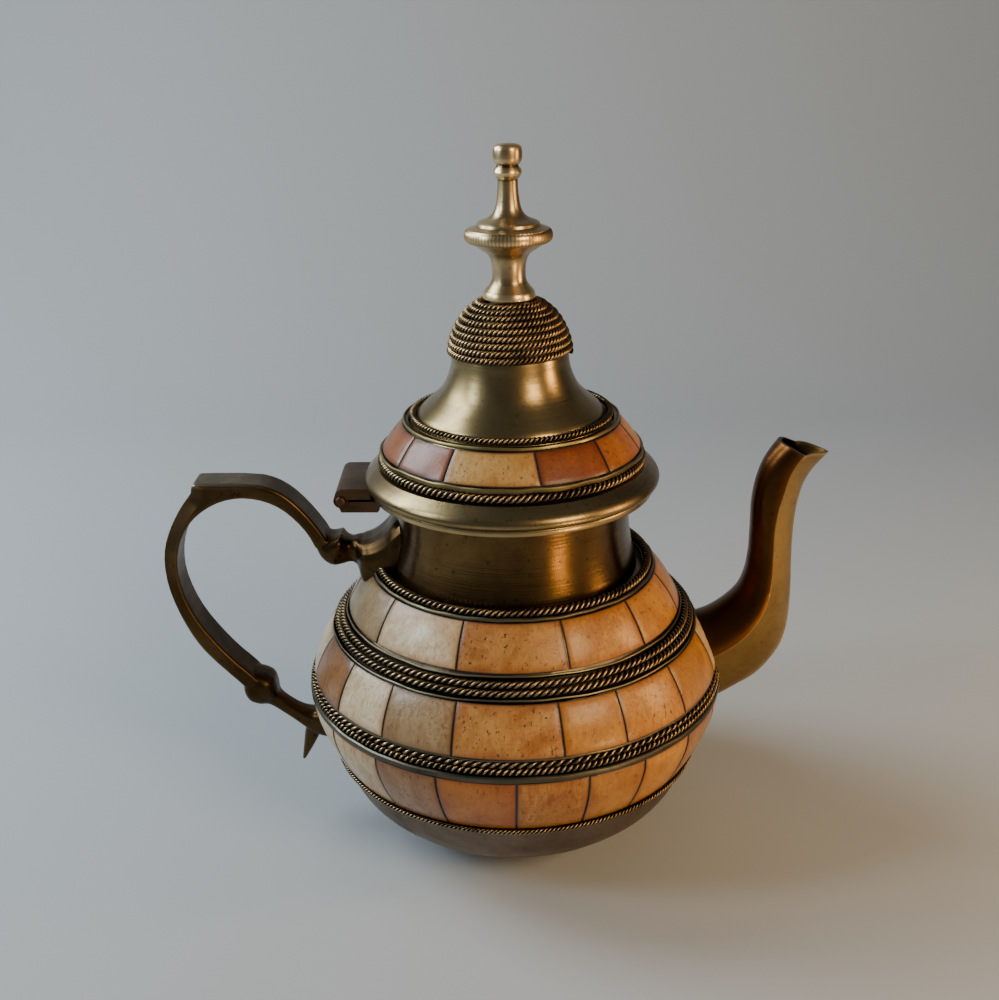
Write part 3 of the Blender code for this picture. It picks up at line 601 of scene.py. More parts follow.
def tile_row(prefix, line, seams, tones, last, thickness, body, nodes):
    """A row of tiles with the given tones first, then any tone, over a ring of dark filler."""
    made = []
    slants = [random.uniform(-SEAM_SLANT, SEAM_SLANT) for seam in seams]
    slants[-1] = slants[0]
    for index, (start, end) in enumerate(zip(seams, seams[1:])):
        name = "%s_%02d" % (prefix, index + 1)
        lift = random.uniform(-0.12, 0.05)
        face = [(r + lift, z) for r, z in line]
        tile = bone_tile(name, face, start, end, thickness, slants[index:index + 2])
        if index < len(tones):
            tone, flecks, streak = tones[index]
        elif index == len(seams) - 2:
            tone, flecks, streak = last
        else:
            tone = random.choice(ANY_TONE)
            flecks = random.uniform(0.2, 0.7)
            streak = random.uniform(0.2, 0.6)
        finish = bone(name + "_bone", tone[0], tone[1], flecks, streak)
        dress(tile, finish, body, "bone", nodes[index if len(nodes) > 1 else 0])
        made.append(tile)
    section = inset(line, FILLER_DEPTH) + inset(line, thickness + 0.1)[::-1]
    backing = lathe(prefix + "_filler", section, edge=0)
    dress(backing, filler_dark, body, "bone", nodes[0])
    made.append(backing)
    return made


lower_line = skin_part(32.3, 53.3, 7)
lower_tones = [
    (PALE, 0.3, 0.7), (PINK, 0.6, 0.4), (ORANGE, 0.5, 0.3), (TAN, 0.6, 0.9), (TAN, 0.4, 0.6),
    (GOLD, 0.3, 0.5), (PINK, 0.4, 0.4),
]
lower_tiles = tile_row("lower_tile", lower_line, all_seams(LOWER_SEAMS, 20), lower_tones,
                       (PALE, 0.3, 0.5), TILE_THICKNESS, "pot", ["lower_tile_band"])

# ------------------------
# Belly channel: a blackened brass strip with a raised lip on each edge, soldered
# round the widest part, and two twisted ropes lying in it side by side.
SPOUT_GAP = 20.5
uneven = random.Random(5)


def hand_strip(name, node, body, outline, amount, metal, edge=0.12):
    """A finished strip with slow random waves along it, as sheet cut and hammered to fit by hand has."""
    piece = lathe(name, outline, edge=edge)
    up = [(uneven.choice((4, 7, 11, 18, 29)), uneven.uniform(0.0, 6.28)) for _ in range(6)]
    out = [(uneven.choice((5, 9, 13, 21, 33)), uneven.uniform(0.0, 6.28)) for _ in range(6)]
    for vertex in piece.data.vertices:
        bearing = math.atan2(vertex.co.y, vertex.co.x)
        across = math.hypot(vertex.co.x, vertex.co.y)
        rise = sum(math.sin(count * bearing + phase) for count, phase in up) / 2.0
        push = sum(math.sin(count * bearing + phase) for count, phase in out) / 2.0
        vertex.co.z += rise * amount * MM
        vertex.co.x *= 1.0 + push * amount * MM / across
        vertex.co.y *= 1.0 + push * amount * MM / across
    return dress(piece, metal, body, "dark_brass", node)


channel_metal = aged_metal("channel_brass", (0.085, 0.08, 0.065), (0.045, 0.042, 0.034),
                           (0.014, 0.013, 0.010), (0.30, 0.6), edge_colour=(0.20, 0.17, 0.10))
strip_metal = aged_metal("strip_brass", (0.09, 0.08, 0.055), (0.045, 0.04, 0.03), (0.014, 0.012, 0.009),
                         (0.30, 0.55), edge_colour=(0.24, 0.20, 0.11))
belly_outline = [
    (69.6, 53.6), (69.85, 54.0), (69.75, 55.2), (69.2, 55.6), (67.2, 55.7), (66.6, 59.8), (68.0, 59.9),
    (67.9, 60.55), (66.1, 60.5), (66.9, 53.6),
]
belly_channel = hand_strip("belly_channel_strip", "belly_channel", "pot", belly_outline, 0.10,
                           channel_metal)
rope_ring("belly_rope_low", "belly_rope_lower", "pot", 68.5, 57.0, 2.25, 1.7, SPOUT_GAP, 2)
rope_ring("belly_rope_high", "belly_rope_upper", "pot", 67.95, 58.95, 2.05, 2.7, SPOUT_GAP, 2)

# ------------------------
# Middle tiles: seventeen larger pieces of bone above the belly.
MIDDLE_SEAMS = [-56.2, -37.6, -17.1, 11.4, 28.9, 50.5, 75.0]
middle_tones = [
    (PALE, 0.35, 0.5), (GREY, 0.4, 0.6), (AMBER, 1.0, 0.4), (GOLD, 0.4, 0.4), (GOLD, 0.9, 0.6),
    (TAN, 0.5, 0.4),
]
middle_line = skin_part(60.7, 75.3, 6)
middle_tiles = tile_row("middle_tile", middle_line, all_seams(MIDDLE_SEAMS, 17), middle_tones,
                        (BROWN, 0.5, 0.5), TILE_THICKNESS, "pot", ["middle_tile_band"])

# ------------------------
# Shoulder channel: the same strip with two ropes, on the slope of the shoulder.
shoulder_low = Vector((60.6, 75.9))
shoulder_high = Vector((55.5, 81.8))
shoulder_up = (shoulder_high - shoulder_low).normalized()
shoulder_out = Vector((shoulder_up.y, -shoulder_up.x))


def on_shoulder(along, depth):
    """Point at a distance up the shoulder channel and a depth below its face."""
    p = shoulder_low + shoulder_up * along - shoulder_out * depth
    return (p.x, p.y)


hand_strip("shoulder_channel_strip", "shoulder_channel", "pot", [
    on_shoulder(-0.3, 0.1), on_shoulder(-0.25, -0.4), on_shoulder(0.3, -0.45), on_shoulder(0.4, 1.4),
    on_shoulder(6.9, 1.4), on_shoulder(7.0, -0.25), on_shoulder(7.6, -0.25), on_shoulder(7.7, 2.1),
    on_shoulder(-0.1, 2.1),
], 0.12, strip_metal)
rope_ring("shoulder_rope_low", "shoulder_rope_lower", "pot", *on_shoulder(2.35, 0.15), 2.5, LONG_LAY)
rope_ring("shoulder_rope_high", "shoulder_rope_upper", "pot", *on_shoulder(5.0, 0.15), 2.5, LONG_LAY)

# ------------------------
# Shoulder tiles: eleven wide pieces of bone between the shoulder and the neck.
SHOULDER_SEAMS = [-52.4, -19.3, 16.6, 46.3, 75.0]
SHOULDER_TILES = 11
shoulder_nodes = ["shoulder_tile_%02d" % (i + 1) for i in range(SHOULDER_TILES)]
shoulder_tones = [
    (PALE, 0.2, 0.5), (AMBER, 0.8, 0.4), (GOLD, 0.5, 0.7), (GOLD, 1.0, 0.5), (TAN, 0.5, 0.5),
]
shoulder_line = skin_part(82.2, 94.9, 6)
tile_row("shoulder_bone", shoulder_line, all_seams(SHOULDER_SEAMS, SHOULDER_TILES), shoulder_tones,
         (GREY, 0.3, 0.5), TILE_THICKNESS, "pot", shoulder_nodes)

# ------------------------
# Neck foot: a flat strip over the top edge of the tiles and one rope inside it.
hand_strip("neck_foot_strip", "neck_strip", "pot", [
    (43.0, 95.2), (46.8, 95.1), (46.9, 95.8), (46.3, 96.2), (46.1, 95.7), (43.0, 95.8),
], 0.10, strip_metal)
rope_ring("neck_foot_rope", "neck_rope", "pot", 44.4, 96.8, 2.75, 2.1)

# ------------------------
# Neck and mouth rim: a drawn brass collar, scratched level all round by years of
# polishing, with a thin rim soldered on its mouth that the lid rests on.
NECK_WALL = 1.4
neck_brass = aged_metal("neck_brass", (0.17, 0.098, 0.034), (0.095, 0.052, 0.018), (0.034, 0.019, 0.009),
                        (0.18, 0.34), 0.8, 3.4, spun=True)
neck_skin = smoothed([
    (40.8, 95.0), (40.5, 97.5), (39.4, 101.4), (38.3, 107.7), (38.0, 114.0), (38.3, 121.8),
], 2)
neck_inside = [(r - NECK_WALL, z) for r, z in neck_skin][::-1]
neck_outline = [(43.4, 93.6), (43.4, 95.0)] + neck_skin + neck_inside + [(39.4, 93.6)]
dress(lathe("neck", neck_outline), neck_brass, "pot", "brass", "neck_collar")
brass = aged_metal("aged_brass", (0.33, 0.24, 0.11), (0.20, 0.145, 0.068), (0.075, 0.052, 0.026),
                   (0.20, 0.38), 0.6, 1.8)
rim = lathe("mouth_rim_ring", [(36.9, 122.2), (45.9, 122.2), (45.9, 124.2), (36.9, 124.2)], edge=0.5)
dress(rim, brass, "pot", "brass", "mouth_rim")

# ------------------------
# Spout: a hollow casting, filed smooth. Its inner half is round, a crease runs up
# each side and the outer half is a blunt keel, coloured golden, with the inner half darker brown.
SPOUT_STATIONS = [
    (57.0, 73.0, 59.0, 36.0, 11.5), (62.3, 74.2, 70.3, 42.1, 11.5), (66.7, 76.0, 76.7, 46.0, 11.2),
    (71.6, 79.6, 84.0, 51.0, 10.6), (75.5, 84.0, 90.4, 59.8, 9.8), (77.6, 90.0, 93.0, 69.0, 9.0),
    (78.4, 96.5, 93.5, 81.0, 8.1), (78.5, 102.0, 93.1, 92.0, 7.4), (78.5, 108.5, 92.9, 102.0, 7.0),
    (78.5, 114.8, 93.3, 110.5, 6.8), (79.4, 121.6, 94.2, 116.5, 6.8), (81.2, 127.6, 95.6, 121.3, 7.0),
    (83.6, 132.0, 98.2, 125.9, 7.3), (86.1, 135.3, 102.7, 131.2, 7.9),
]
CREASE_SHARE = [
    0.36, 0.365, 0.37, 0.371, 0.376, 0.42, 0.457, 0.475, 0.481, 0.52, 0.558, 0.536, 0.50, 0.46,
]
SPOUT_WALL = 1.3
SPOUT_SIDES = 40


def curve_through(values, share):
    """Value at a share of the way along a list, by a smooth curve through every entry."""
    spot = share * (len(values) - 1)
    index = min(int(spot), len(values) - 2)
    t = spot - index
    a = values[max(index - 1, 0)]
    b = values[index]
    c = values[index + 1]
    d = values[min(index + 2, len(values) - 1)]
    square = 2 * a - 5 * b + 4 * c - d
    cube = 3 * b - a - 3 * c + d
    return 0.5 * (2 * b + (c - a) * t + square * t * t + cube * t ** 3)


def spout_ring(share, grow):
    """One closed section of the spout at a share of its length, grown or shrunk by a distance."""
    x0, z0, x1, z1, width = (curve_through(column, share) for column in zip(*SPOUT_STATIONS))
    width += grow
    crease = curve_through(CREASE_SHARE, share)
    across = Vector((x1 - x0, z1 - z0))
    centre = Vector((x0, z0)) + across * crease
    back = across.length * crease + grow
    front = across.length * (1.0 - crease) + grow
    across.normalize()
    ring = []
    for side in range(SPOUT_SIDES):
        bearing = math.tau * side / SPOUT_SIDES
        level = abs(math.sin(bearing))
        if math.cos(bearing) >= 0.0:
            reach = front * (1.0 - level ** 1.5)
        else:
            reach = -back * math.sqrt(max(0.0, 1.0 - level * level))
        p = centre + across * reach
        ring.append(Vector((p.x, width * math.sin(bearing), p.y)) * MM)
    return ring


def bridged(name, rings, inner=None):
    """Faces between equal rings of points: a tube with walls when given an inner set, else a closed bar."""
    work = bmesh.new()

    def skin(all_rings):
        rows = [[work.verts.new(p) for p in ring] for ring in all_rings]
        for low, high in zip(rows, rows[1:]):
            for index in range(len(low)):
                after = (index + 1) % len(low)
                work.faces.new((low[index], low[after], high[after], high[index]))
        return rows

    outside = skin(rings)
    if inner is None:
        work.faces.new(outside[0])
        work.faces.new(outside[-1])
    else:
        inside = skin(inner)
        for one, other in ((outside[0], inside[0]), (outside[-1], inside[-1])):
            for index in range(len(one)):
                after = (index + 1) % len(one)
                work.faces.new((one[index], one[after], other[after], other[index]))
    bmesh.ops.recalc_face_normals(work, faces=work.faces[:])
    mesh = bpy.data.meshes.new(name)
    work.to_mesh(mesh)
    work.free()
    if inner is not None:
        layer = mesh.attributes.new("inside", "FLOAT", "POINT")
        for index in range(len(rings) * len(rings[0]), len(mesh.vertices)):
            layer.data[index].value = 1.0
    piece = bpy.data.objects.new(name, mesh)
    bpy.context.scene.collection.objects.link(piece)
    select_only(piece)
    return piece


def cut(piece, cutter, operation="DIFFERENCE", keep=False):
    """Apply one exact Boolean and take the cutter away, unless it is kept for the next piece."""
    apply_modifier(piece, "BOOLEAN", operation=operation, solver="EXACT", object=cutter)
    bpy.ops.object.shade_smooth_by_angle(angle=SHARP)
    if not keep:
        bpy.data.objects.remove(cutter)


STATION_STEPS = 64
outer_rings = [spout_ring(i / STATION_STEPS, 0.0) for i in range(STATION_STEPS + 1)]
inner_rings = [spout_ring(i / STATION_STEPS, -SPOUT_WALL) for i in range(STATION_STEPS + 1)]
MOUTH_NOTCH = 1.1
for rings in (outer_rings, inner_rings):
    for index in range(4):
        for side, point in enumerate(rings[-1 - index]):
            sharp = abs(math.sin(math.tau * side / SPOUT_SIDES)) ** 8
            point.z -= MOUTH_NOTCH * MM * sharp * (1.0 - index / 4.0)
spout = bridged("spout_casting", outer_rings, inner_rings)
core_line = inset(skin_part(20.0, 94.0, 16), 2.3)
core = lathe("core", [(0.0, core_line[0][1])] + core_line + [(0.0, core_line[-1][1])], 180, edge=0)
cut(spout, core)
NOTCH_GAP = 0.25
NOTCH_STEPS = 30
SPOUT_SIDE = 60.0
notch = bridged("notch", [spout_ring(i / STATION_STEPS, NOTCH_GAP) for i in range(NOTCH_STEPS)])
for piece in lower_tiles + middle_tiles + [belly_channel]:
    if max(vertex.co.x for vertex in piece.data.vertices) > SPOUT_SIDE * MM:
        cut(piece, notch, keep=True)
bpy.data.objects.remove(notch)
crease_line = [spout_ring(i / STATION_STEPS, 0.0)[SPOUT_SIDES // 4] for i in range(STATION_STEPS + 1)]
crease_line = [Vector((p.x, p.z)) / MM for p in crease_line]


def beyond_crease(place):
    """0.5 on the crease, more on the outer face and less on the inner one, over 8 mm."""
    flat = Vector((place.x, place.z))
    near = min(range(len(crease_line) - 1), key=lambda i: (crease_line[i] - flat).length)
    start = crease_line[near]
    along = crease_line[near + 1] - start
    out = (along.y * (flat.x - start.x) - along.x * (flat.y - start.y)) / along.length
    return min(1.0, max(0.0, 0.5 + out / 8.0))


# The outward tint colours the half of the spout that faces the pot darker brown than its keel.
mark(spout, "outward", beyond_crease)
# The inside tint is painted shade: the spout's bore is multiplied nearly black.
spout_tints = [("outward", 0.45, 0.53, (0.24, 0.15, 0.12)), ("inside", 0.9, 0.1, (0.16, 0.13, 0.11))]
spout_brass = aged_metal("spout_brass", (0.47, 0.30, 0.10), (0.33, 0.20, 0.064), (0.13, 0.076, 0.027),
                         (0.26, 0.42), 0.6, 0.3, tints=spout_tints)
dress(spout, spout_brass, "pot", "brass", "spout")

# ------------------------
# Handle: one casting, an arched strap with a thumb rest, with a knuckle and an arm
# at each end and a small pointed tail, soldered to the neck and to the belly.
STRAP_OUTER = [
    (-91.5, 50.5), (-96.5, 56.0), (-102.0, 62.0), (-106.2, 67.5), (-109.6, 74.0), (-112.6, 82.0),
    (-114.6, 90.0), (-115.2, 97.5), (-114.6, 103.5), (-112.6, 109.0), (-110.0, 114.0),
    (-107.2, 118.2), (-104.2, 121.4), (-103.2, 125.5), (-102.0, 126.0), (-83.0, 125.6),
    (-77.2, 123.8), (-72.3, 120.6), (-67.4, 115.3), (-62.6, 108.6), (-60.6, 104.6),
]
STRAP_INNER = [
    (-64.6, 102.2), (-66.9, 107.6), (-70.6, 112.6), (-75.0, 116.8), (-80.0, 119.4), (-85.8, 120.7),
    (-91.5, 120.4), (-97.0, 118.6), (-102.3, 115.2), (-106.6, 110.6), (-109.4, 105.0),
    (-110.8, 98.5), (-110.8, 91.5), (-108.8, 83.6), (-105.6, 76.2), (-100.6, 68.6),
    (-95.4, 62.0), (-90.8, 57.4), (-87.4, 53.4),
]
STRAP_HALF_WIDTH = 6.2
BAR_CUTS = 4
BAR_ROUNDNESS = 0.62
HANDLE_VOXEL = 0.42


def block(name, outline, low, high):
    """A prism with an XZ outline between two places along Y."""
    piece = drawn_line(name, [(x, low, z) for x, z in outline])
    bpy.ops.mesh.edge_face_add()
    bpy.ops.mesh.extrude_region_move(TRANSFORM_OT_translate={"value": (0.0, (high - low) * MM, 0.0)})
    leave_edit(merge=False)
    return piece


strap_line = smoothed(STRAP_OUTER, 1) + smoothed(STRAP_INNER, 1)
strap = block("handle_casting", strap_line, -STRAP_HALF_WIDTH, STRAP_HALF_WIDTH)
apply_modifier(strap, "BEVEL", width=0.9 * MM, segments=3, limit_method="ANGLE",
               angle_limit=math.radians(50.0))


def bar(name, stations, sides=20):
    """A rounded bar in the XZ plane through stations of place, heading, half height and half width."""
    rings = []
    steps = BAR_CUTS * (len(stations) - 1)
    for step in range(steps + 1):
        share = step / steps
        x, z, heading, tall, wide = (curve_through(column, share) for column in zip(*stations))
        lean = math.radians(heading)
        up = Vector((-math.sin(lean), math.cos(lean)))
        ring = []
        for side in range(sides):
            bearing = math.tau * (side + 0.5) / sides
            c = math.copysign(abs(math.cos(bearing)) ** BAR_ROUNDNESS, math.cos(bearing))
            s = math.copysign(abs(math.sin(bearing)) ** BAR_ROUNDNESS, math.sin(bearing))
            ring.append(Vector((x + up.x * tall * s, wide * c, z + up.y * tall * s)) * MM)
        rings.append(ring)
    return bridged(name, rings)


upper_arm = bar("upper_arm", [
    (-64.6, 107.6, -60.0, 1.6, 3.4), (-62.6, 104.2, -55.0, 3.0, 5.6), (-60.6, 102.4, -40.0, 4.6, 6.8),
    (-58.2, 101.2, -20.0, 5.6, 7.0), (-55.8, 100.6, -8.0, 4.6, 5.8), (-53.6, 100.4, -2.0, 3.9, 4.8),
    (-51.8, 100.0, 0.0, 4.5, 5.2), (-50.9, 99.0, 0.0, 5.5, 6.6), (-50.3, 97.6, 0.0, 6.6, 8.0),
    (-49.0, 96.9, 0.0, 7.6, 9.6), (-46.5, 97.3, 0.0, 7.9, 10.6), (-43.5, 98.1, 0.0, 9.1, 11.6),
    (-41.0, 99.4, 0.0, 10.4, 12.4), (-39.0, 100.8, 0.0, 11.8, 13.2), (-36.0, 102.2, 0.0, 13.3, 13.8),
])
lower_arm = bar("lower_arm", [
    (-93.4, 57.0, -50.0, 1.6, 3.2), (-91.4, 54.0, -50.0, 3.0, 5.2), (-89.6, 51.6, -50.0, 5.0, 6.4),
    (-87.6, 49.2, -49.0, 5.8, 6.8), (-85.6, 46.8, -48.0, 4.6, 5.6), (-83.4, 44.6, -46.0, 2.8, 3.5),
    (-79.0, 41.0, -40.0, 2.5, 3.2), (-75.0, 38.2, -34.0, 2.8, 3.5), (-71.4, 36.4, -22.0, 3.7, 4.4),
    (-67.6, 35.6, 0.0, 5.2, 5.8), (-62.0, 35.4, 0.0, 5.8, 6.4), (-56.0, 35.4, 0.0, 5.8, 6.4),
])
tail = bar("tail", [
    (-69.8, 37.0, -88.0, 1.8, 2.8), (-70.8, 32.6, -92.0, 2.9, 3.6), (-72.2, 28.4, -98.0, 2.3, 3.0),
    (-73.8, 23.8, -100.0, 1.4, 2.1), (-75.4, 19.4, -101.0, 0.5, 0.8),
])
for arm in (upper_arm, lower_arm, tail):
    cut(strap, arm, "UNION")
apply_modifier(strap, "REMESH", mode="VOXEL", voxel_size=HANDLE_VOXEL * MM)
apply_modifier(strap, "SMOOTH", factor=0.5, iterations=3)
skin = [(r + 0.3, z) for r, z in body_line if z < 30.0] + [(62.9, 30.0), (62.9, 32.6)]
skin += [(r + 0.3, z) for r, z in body_line if z > 33.0]
skin += [(46.2, 95.6), (41.0, 96.0), (40.4, 98.0), (38.3, 107.8), (38.1, 119.0)]
skin_solid = lathe("skin_solid", [(0.0, 0.0)] + skin + [(0.0, 119.0)], 160, edge=0)
cut(strap, skin_solid)
bpy.ops.object.shade_smooth_by_angle(angle=math.radians(40.0))
CHAMFER_DEPTH = 4.2
sweep_line = [Vector(p) for p in smoothed(STRAP_OUTER[4:14], 2)]
for vertex in strap.data.vertices:
    flat = Vector((vertex.co.x, vertex.co.z)) / MM
    if flat.x > -95.0 or flat.y < 72.0:
        continue
    depth = CHAMFER_DEPTH
    spot = 0.0
    for index, (one, two) in enumerate(zip(sweep_line, sweep_line[1:])):
        along = two - one
        share = min(1.0, max(0.0, (flat - one).dot(along) / along.length_squared))
        away = (one + along * share - flat).length
        if away < depth:
            depth = away
            spot = (index + share) / (len(sweep_line) - 1)
    narrow = (1.0 - depth / CHAMFER_DEPTH) * math.sin(math.pi * spot ** 1.8)
    limit = STRAP_HALF_WIDTH - 3.6 * narrow
    across = abs(vertex.co.y) / MM
    if across > limit:
        vertex.co.y = math.copysign(limit * MM, vertex.co.y)
# Painted light: the thumb rest's top keeps the brass colour, the rest of the handle is multiplied darker.
mark(strap, "top", lambda p: min(1.0, max(0.0, (p.z - 123.0) / 3.0)) if p.x < -75.0 else 0.0)
handle_brass = aged_metal("handle_brass", (0.255, 0.20, 0.115), (0.145, 0.112, 0.064),
                          (0.050, 0.037, 0.022), (0.26, 0.46), 0.9, 0.3,
                          tints=[("top", 0.3, 0.95, (0.40, 0.29, 0.19))])
dress(strap, handle_brass, "pot", "dark_brass", "handle")

# ------------------------
# Hinge: two thick leaves with interleaved knuckles on one pin with domed heads. The
# lower leaf is soldered to the neck by its root, the upper one to the lid's flange.
hinge_brass = aged_metal("hinge_brass", (0.095, 0.058, 0.032), (0.05, 0.029, 0.016),
                         (0.016, 0.009, 0.006), (0.34, 0.58), 0.7, 0.4)
PIN_X = -54.5
PIN_Z = 122.0
KNUCKLE_RADIUS = 2.4
KNUCKLES = [-13.0, -8.0, -2.6, 2.6, 8.0, 13.0]


def knuckle(radius, low, high):
    """A barrel round the pin's line."""
    outline = []
    for step in range(32):
        bearing = math.tau * step / 32
        outline.append((PIN_X + radius * math.cos(bearing), PIN_Z + radius * math.sin(bearing)))
    return block("barrel", outline, low, high)


lid_leaf = block("hinge_leaf_upper", [
    (-44.0, 122.4), (-44.0, 125.8), (-50.0, 126.0), (-54.3, 126.0), (-55.7, 125.3), (-56.4, 123.9),
    (-56.6, 122.4),
], -13.0, 13.0)
pot_leaf = block("hinge_leaf_lower", [
    (-42.4, 118.6), (-42.4, 121.5), (-54.3, 121.5), (-55.4, 120.0), (-54.6, 118.0), (-43.0, 117.8),
], -12.6, 12.6)
leaf_root = block("leaf_root", [(-34.0, 118.0), (-34.0, 121.4), (-46.0, 121.4), (-46.0, 118.0)], -7.0, 7.0)
cut(pot_leaf, leaf_root, "UNION")
for index in range(5):
    other = pot_leaf if index % 2 == 0 else lid_leaf
    clear = knuckle(KNUCKLE_RADIUS + 0.15, KNUCKLES[index] - 0.12, KNUCKLES[index + 1] + 0.12)
    cut(other, clear)
for index in range(5):
    own = lid_leaf if index % 2 == 0 else pot_leaf
    barrel = knuckle(KNUCKLE_RADIUS, KNUCKLES[index] + 0.08, KNUCKLES[index + 1] - 0.08)
    cut(own, barrel, "UNION")
for leaf, radius, low, high in ((lid_leaf, 46.9, 120.0, 130.0), (pot_leaf, 37.7, 110.0, 126.0)):
    round_cut = lathe("round_cut", [(0.0, low), (radius, low), (radius, high), (0.0, high)], edge=0)
    cut(leaf, round_cut)
    apply_modifier(leaf, "BEVEL", width=0.22 * MM, segments=2, limit_method="ANGLE",
                   angle_limit=math.radians(35.0))
dress(lid_leaf, hinge_brass, "lid", "dark_brass", "hinge_lid_leaf")
dress(pot_leaf, hinge_brass, "pot", "dark_brass", "hinge_pot_leaf")
pin_skin = [(0.0, -14.2), (0.8, -14.1), (1.4, -13.8), (1.6, -13.3), (1.3, -13.15)]
pin = lathe("hinge_pin_rod", pin_skin + [(r, -z) for r, z in pin_skin[::-1]], 32, edge=0)
pin.data.transform(Matrix.Translation((PIN_X * MM, 0.0, PIN_Z * MM)) @ Matrix.Rotation(math.pi / 2, 4, "X"))
dress(pin, hinge_brass, "pot", "dark_brass", "hinge_pin")

# ------------------------
# Lid: a spun flange with a full round bead, rising to a cone that carries the
# tiles, and a plug collar under it that drops into the neck.
flange = smoothed([
    (46.6, 124.6), (47.5, 125.2), (47.7, 126.3), (47.2, 127.6), (46.0, 128.9), (43.4, 130.9),
], 2)
lid_outline = [(34.6, 124.6)] + flange + [
    (39.7, 130.9), (39.5, 134.6), (32.6, 143.4), (29.8, 145.0), (29.0, 143.9), (31.6, 142.2),
    (38.2, 133.6), (38.2, 126.0), (34.6, 126.0),
]
dress(lathe("lid_flange", lid_outline), brass, "lid", "brass", "lid_shell")
collar = lathe("lid_plug_collar", [(34.6, 118.6), (35.9, 118.6), (35.9, 124.2), (34.6, 124.2)], edge=0.25)
dress(collar, brass, "lid", "brass", "lid_collar")

# ------------------------
# Lid trim: a strip and a thick rope below the lid's tiles, a strip and a finer
# rope above them.
lid_strip_metal = aged_metal("lid_strip_brass", (0.20, 0.155, 0.06), (0.12, 0.09, 0.036),
                             (0.035, 0.025, 0.012), (0.28, 0.5), edge_colour=(0.34, 0.27, 0.13))
hand_strip("lid_strip_low", "lid_lower_strip", "lid", [
    (40.5, 134.3), (42.0, 134.3), (42.4, 135.7), (42.0, 136.05), (40.9, 135.6),
], 0.14, lid_strip_metal, edge=0.1)
hand_strip("lid_strip_high", "lid_upper_strip", "lid", [
    (33.0, 144.1), (34.8, 145.2), (34.5, 146.0), (34.1, 146.0), (33.9, 145.5), (32.9, 145.6),
], 0.12, lid_strip_metal, edge=0.1)
rope_ring("lid_rope_low", "lid_rim_rope", "lid", 41.7, 132.7, 2.85, 2.0)
rope_ring("lid_rope_high", "lid_upper_rope", "lid", 31.5, 147.05, 2.15, 2.1)

# ------------------------
# Lid tiles: eleven pieces of redder bone on the cone of the lid.
LID_SEAMS = [-58.4, -30.1, 10.9, 44.9, 76.5]
lid_tile_line = [
    (41.5, 136.2), (40.5, 137.7), (39.4, 139.2), (38.1, 140.9), (36.6, 142.7), (34.8, 144.7),
]
LID_TILES = 11
lid_nodes = ["lid_tile_%02d" % (i + 1) for i in range(LID_TILES)]
lid_tones = [
    (BURNT, 0.3, 0.3), (CREAM, 0.5, 0.5), (BURNT, 0.6, 0.4), (ORANGE, 0.6, 0.4), (TAN, 0.5, 0.4),
]
tile_row("lid_bone", lid_tile_line, all_seams(LID_SEAMS, LID_TILES), lid_tones,
         (BURNT, 0.3, 0.3), 1.7, "lid", lid_nodes)

# ------------------------
# Bell: sheet brass spun to a hollow waisted cone, with the best polish on the pot.
bell_skin = smoothed([
    (29.9, 145.8), (29.7, 147.6), (27.4, 149.8), (24.7, 152.1), (22.3, 154.4), (20.6, 157.1), (19.3, 160.3),
    (18.6, 163.2), (18.45, 165.2), (18.2, 166.6),
], 2)
bell_outline = [(28.3, 145.4), (32.2, 145.4), (32.2, 145.8)] + bell_skin + [
    (17.4, 166.6), (17.5, 161.8), (19.6, 156.0), (23.9, 151.1), (28.3, 147.1)]
bell_brass = aged_metal("bell_brass", (0.34, 0.25, 0.115), (0.24, 0.17, 0.075), (0.10, 0.068, 0.028),
                        (0.25, 0.38), 0.5, 1.8, spun=True)
dress(lathe("bell", bell_outline), bell_brass, "lid", "brass", "lid_bell")

# ------------------------
# Rope dome: a thin cap of sheet brass, wound from its edge to the top with one
# long twisted rope of thinner brown wire.
cap_outline = [
    (17.3, 165.6), (16.9, 169.0), (15.3, 173.0), (12.5, 177.2), (8.4, 180.6), (0.0, 182.6),
    (0.0, 181.3), (7.6, 179.4), (11.4, 176.3), (14.1, 172.3), (15.6, 168.8), (16.0, 165.6),
]
cap = lathe("dome_cap_cup", [cap_outline[5]] + cap_outline[4::-1] + cap_outline[:5:-1], 64, edge=0)
dress(cap, channel_metal, "lid", "dark_brass", "dome_cap")
DOME_LINE = [
    (18.9, 166.2), (18.5, 169.2), (17.55, 172.4), (16.05, 175.5), (13.9, 178.6), (10.3, 181.6), (8.9, 182.2),
]
DOME_TURNS = 9
DOME_STEPS = 56
FINE_STEPS = 400
fine_line = [
    [curve_through(column, i / FINE_STEPS) for column in zip(*DOME_LINE)] for i in range(FINE_STEPS + 1)
]
run = [0.0]
for (r0, z0), (r1, z1) in zip(fine_line, fine_line[1:]):
    run.append(run[-1] + math.hypot(r1 - r0, z1 - z0))
path_points = []
for step in range(DOME_TURNS * DOME_STEPS + 1):
    goal = run[-1] * step / (DOME_TURNS * DOME_STEPS)
    radius, height = fine_line[min(range(FINE_STEPS + 1), key=lambda i: abs(run[i] - goal))]
    bearing = math.tau * step / DOME_STEPS
    path_points.append(Vector((radius * math.cos(bearing), radius * math.sin(bearing), height)))
path_length = sum((b - a).length for a, b in zip(path_points, path_points[1:]))
spiral = bpy.data.curves.new("spiral", "CURVE")
spiral.dimensions = "3D"
spline = spiral.splines.new("POLY")
spline.points.add(len(path_points) - 1)
for point, spot in zip(spline.points, path_points):
    point.co = (*(spot * MM), 1.0)
spiral_object = bpy.data.objects.new("spiral", spiral)
bpy.context.scene.collection.objects.link(spiral_object)
dome = twisted_rope("dome_rope_coil", path_length, 2.3, 2.25 * ROPE_LAY, 7, 12)
apply_modifier(dome, "CURVE", object=spiral_object, deform_axis="POS_X")
bpy.ops.object.shade_smooth()
bpy.data.objects.remove(spiral_object)
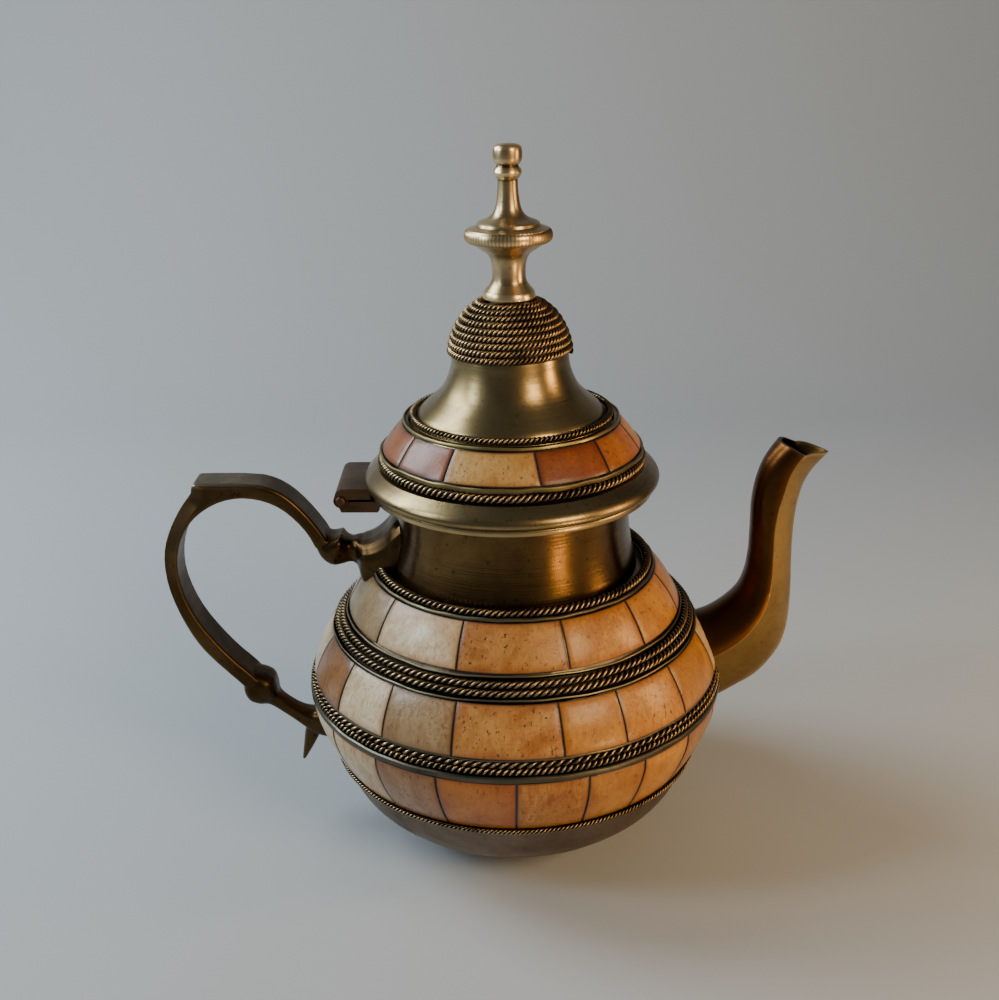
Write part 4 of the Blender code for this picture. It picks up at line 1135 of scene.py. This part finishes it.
dome_brass = rope_metal("dome_rope_brass", (0.62, 0.44, 0.23), (0.26, 0.165, 0.075), (0.022, 0.015, 0.010))
dress(dome, dome_brass, "lid", "rope_brass", "dome_rope")

# ------------------------
# Finial: one turned solid, a waisted foot, a disc with a knurled edge, a slender
# stem and a small knob, held by the peened end of its own stem.
FINIAL_PARTS = [
    (0, [(7.4, 183.0), (8.1, 183.6), (8.2, 184.4), (7.8, 185.6)]),
    (1, [(7.7, 185.7), (6.4, 187.3), (5.4, 188.6), (5.15, 191.0), (5.25, 193.6), (5.7, 195.6), (6.7, 197.3),
         (8.7, 198.5)]),
    (0, [(9.4, 199.0), (9.9, 199.4)]),
    (1, [(10.1, 199.5), (11.2, 200.3), (12.0, 200.5)]),
    (1, [(12.2, 200.5), (13.3, 201.1), (13.6, 202.4), (13.4, 203.7), (12.8, 204.4)]),
    (1, [(12.5, 204.6), (10.6, 205.1), (9.9, 205.5)]),
    (0, [(9.6, 206.3), (9.0, 206.7)]),
    (1, [(8.8, 206.8), (6.8, 207.5), (5.2, 208.5), (4.1, 210.2), (3.5, 212.8), (3.15, 216.0),
         (3.05, 219.0)]),
    (0, [(3.5, 219.6), (4.1, 220.4), (4.35, 221.2), (4.1, 222.1), (3.4, 222.8), (3.25, 223.3)]),
    (1, [(3.5, 223.5), (4.3, 224.3), (4.5, 225.6), (4.5, 227.2), (4.2, 228.7), (2.8, 229.35), (0.0, 229.4)]),
]
finial_skin = [point for rounds, part in FINIAL_PARTS for point in smoothed(part, rounds)]
finial = lathe("finial_turning", [(0.0, 183.0)] + finial_skin, edge=0)
KNURL_DEPTH = 0.55
for vertex in finial.data.vertices:
    across = math.hypot(vertex.co.x, vertex.co.y) / MM
    if across > 12.3 and 200.7 < vertex.co.z / MM < 204.5:
        bearing = math.atan2(vertex.co.y, vertex.co.x)
        if round(bearing / (math.tau / RING_STEPS)) % 2:
            vertex.co.x *= 1.0 - KNURL_DEPTH / across
            vertex.co.y *= 1.0 - KNURL_DEPTH / across
finial_brass = aged_metal("finial_brass", (0.66, 0.48, 0.25), (0.46, 0.33, 0.165), (0.17, 0.115, 0.055),
                          (0.26, 0.40), 0.6, 0.8, spun=True)
dress(finial, finial_brass, "lid", "brass", "finial")
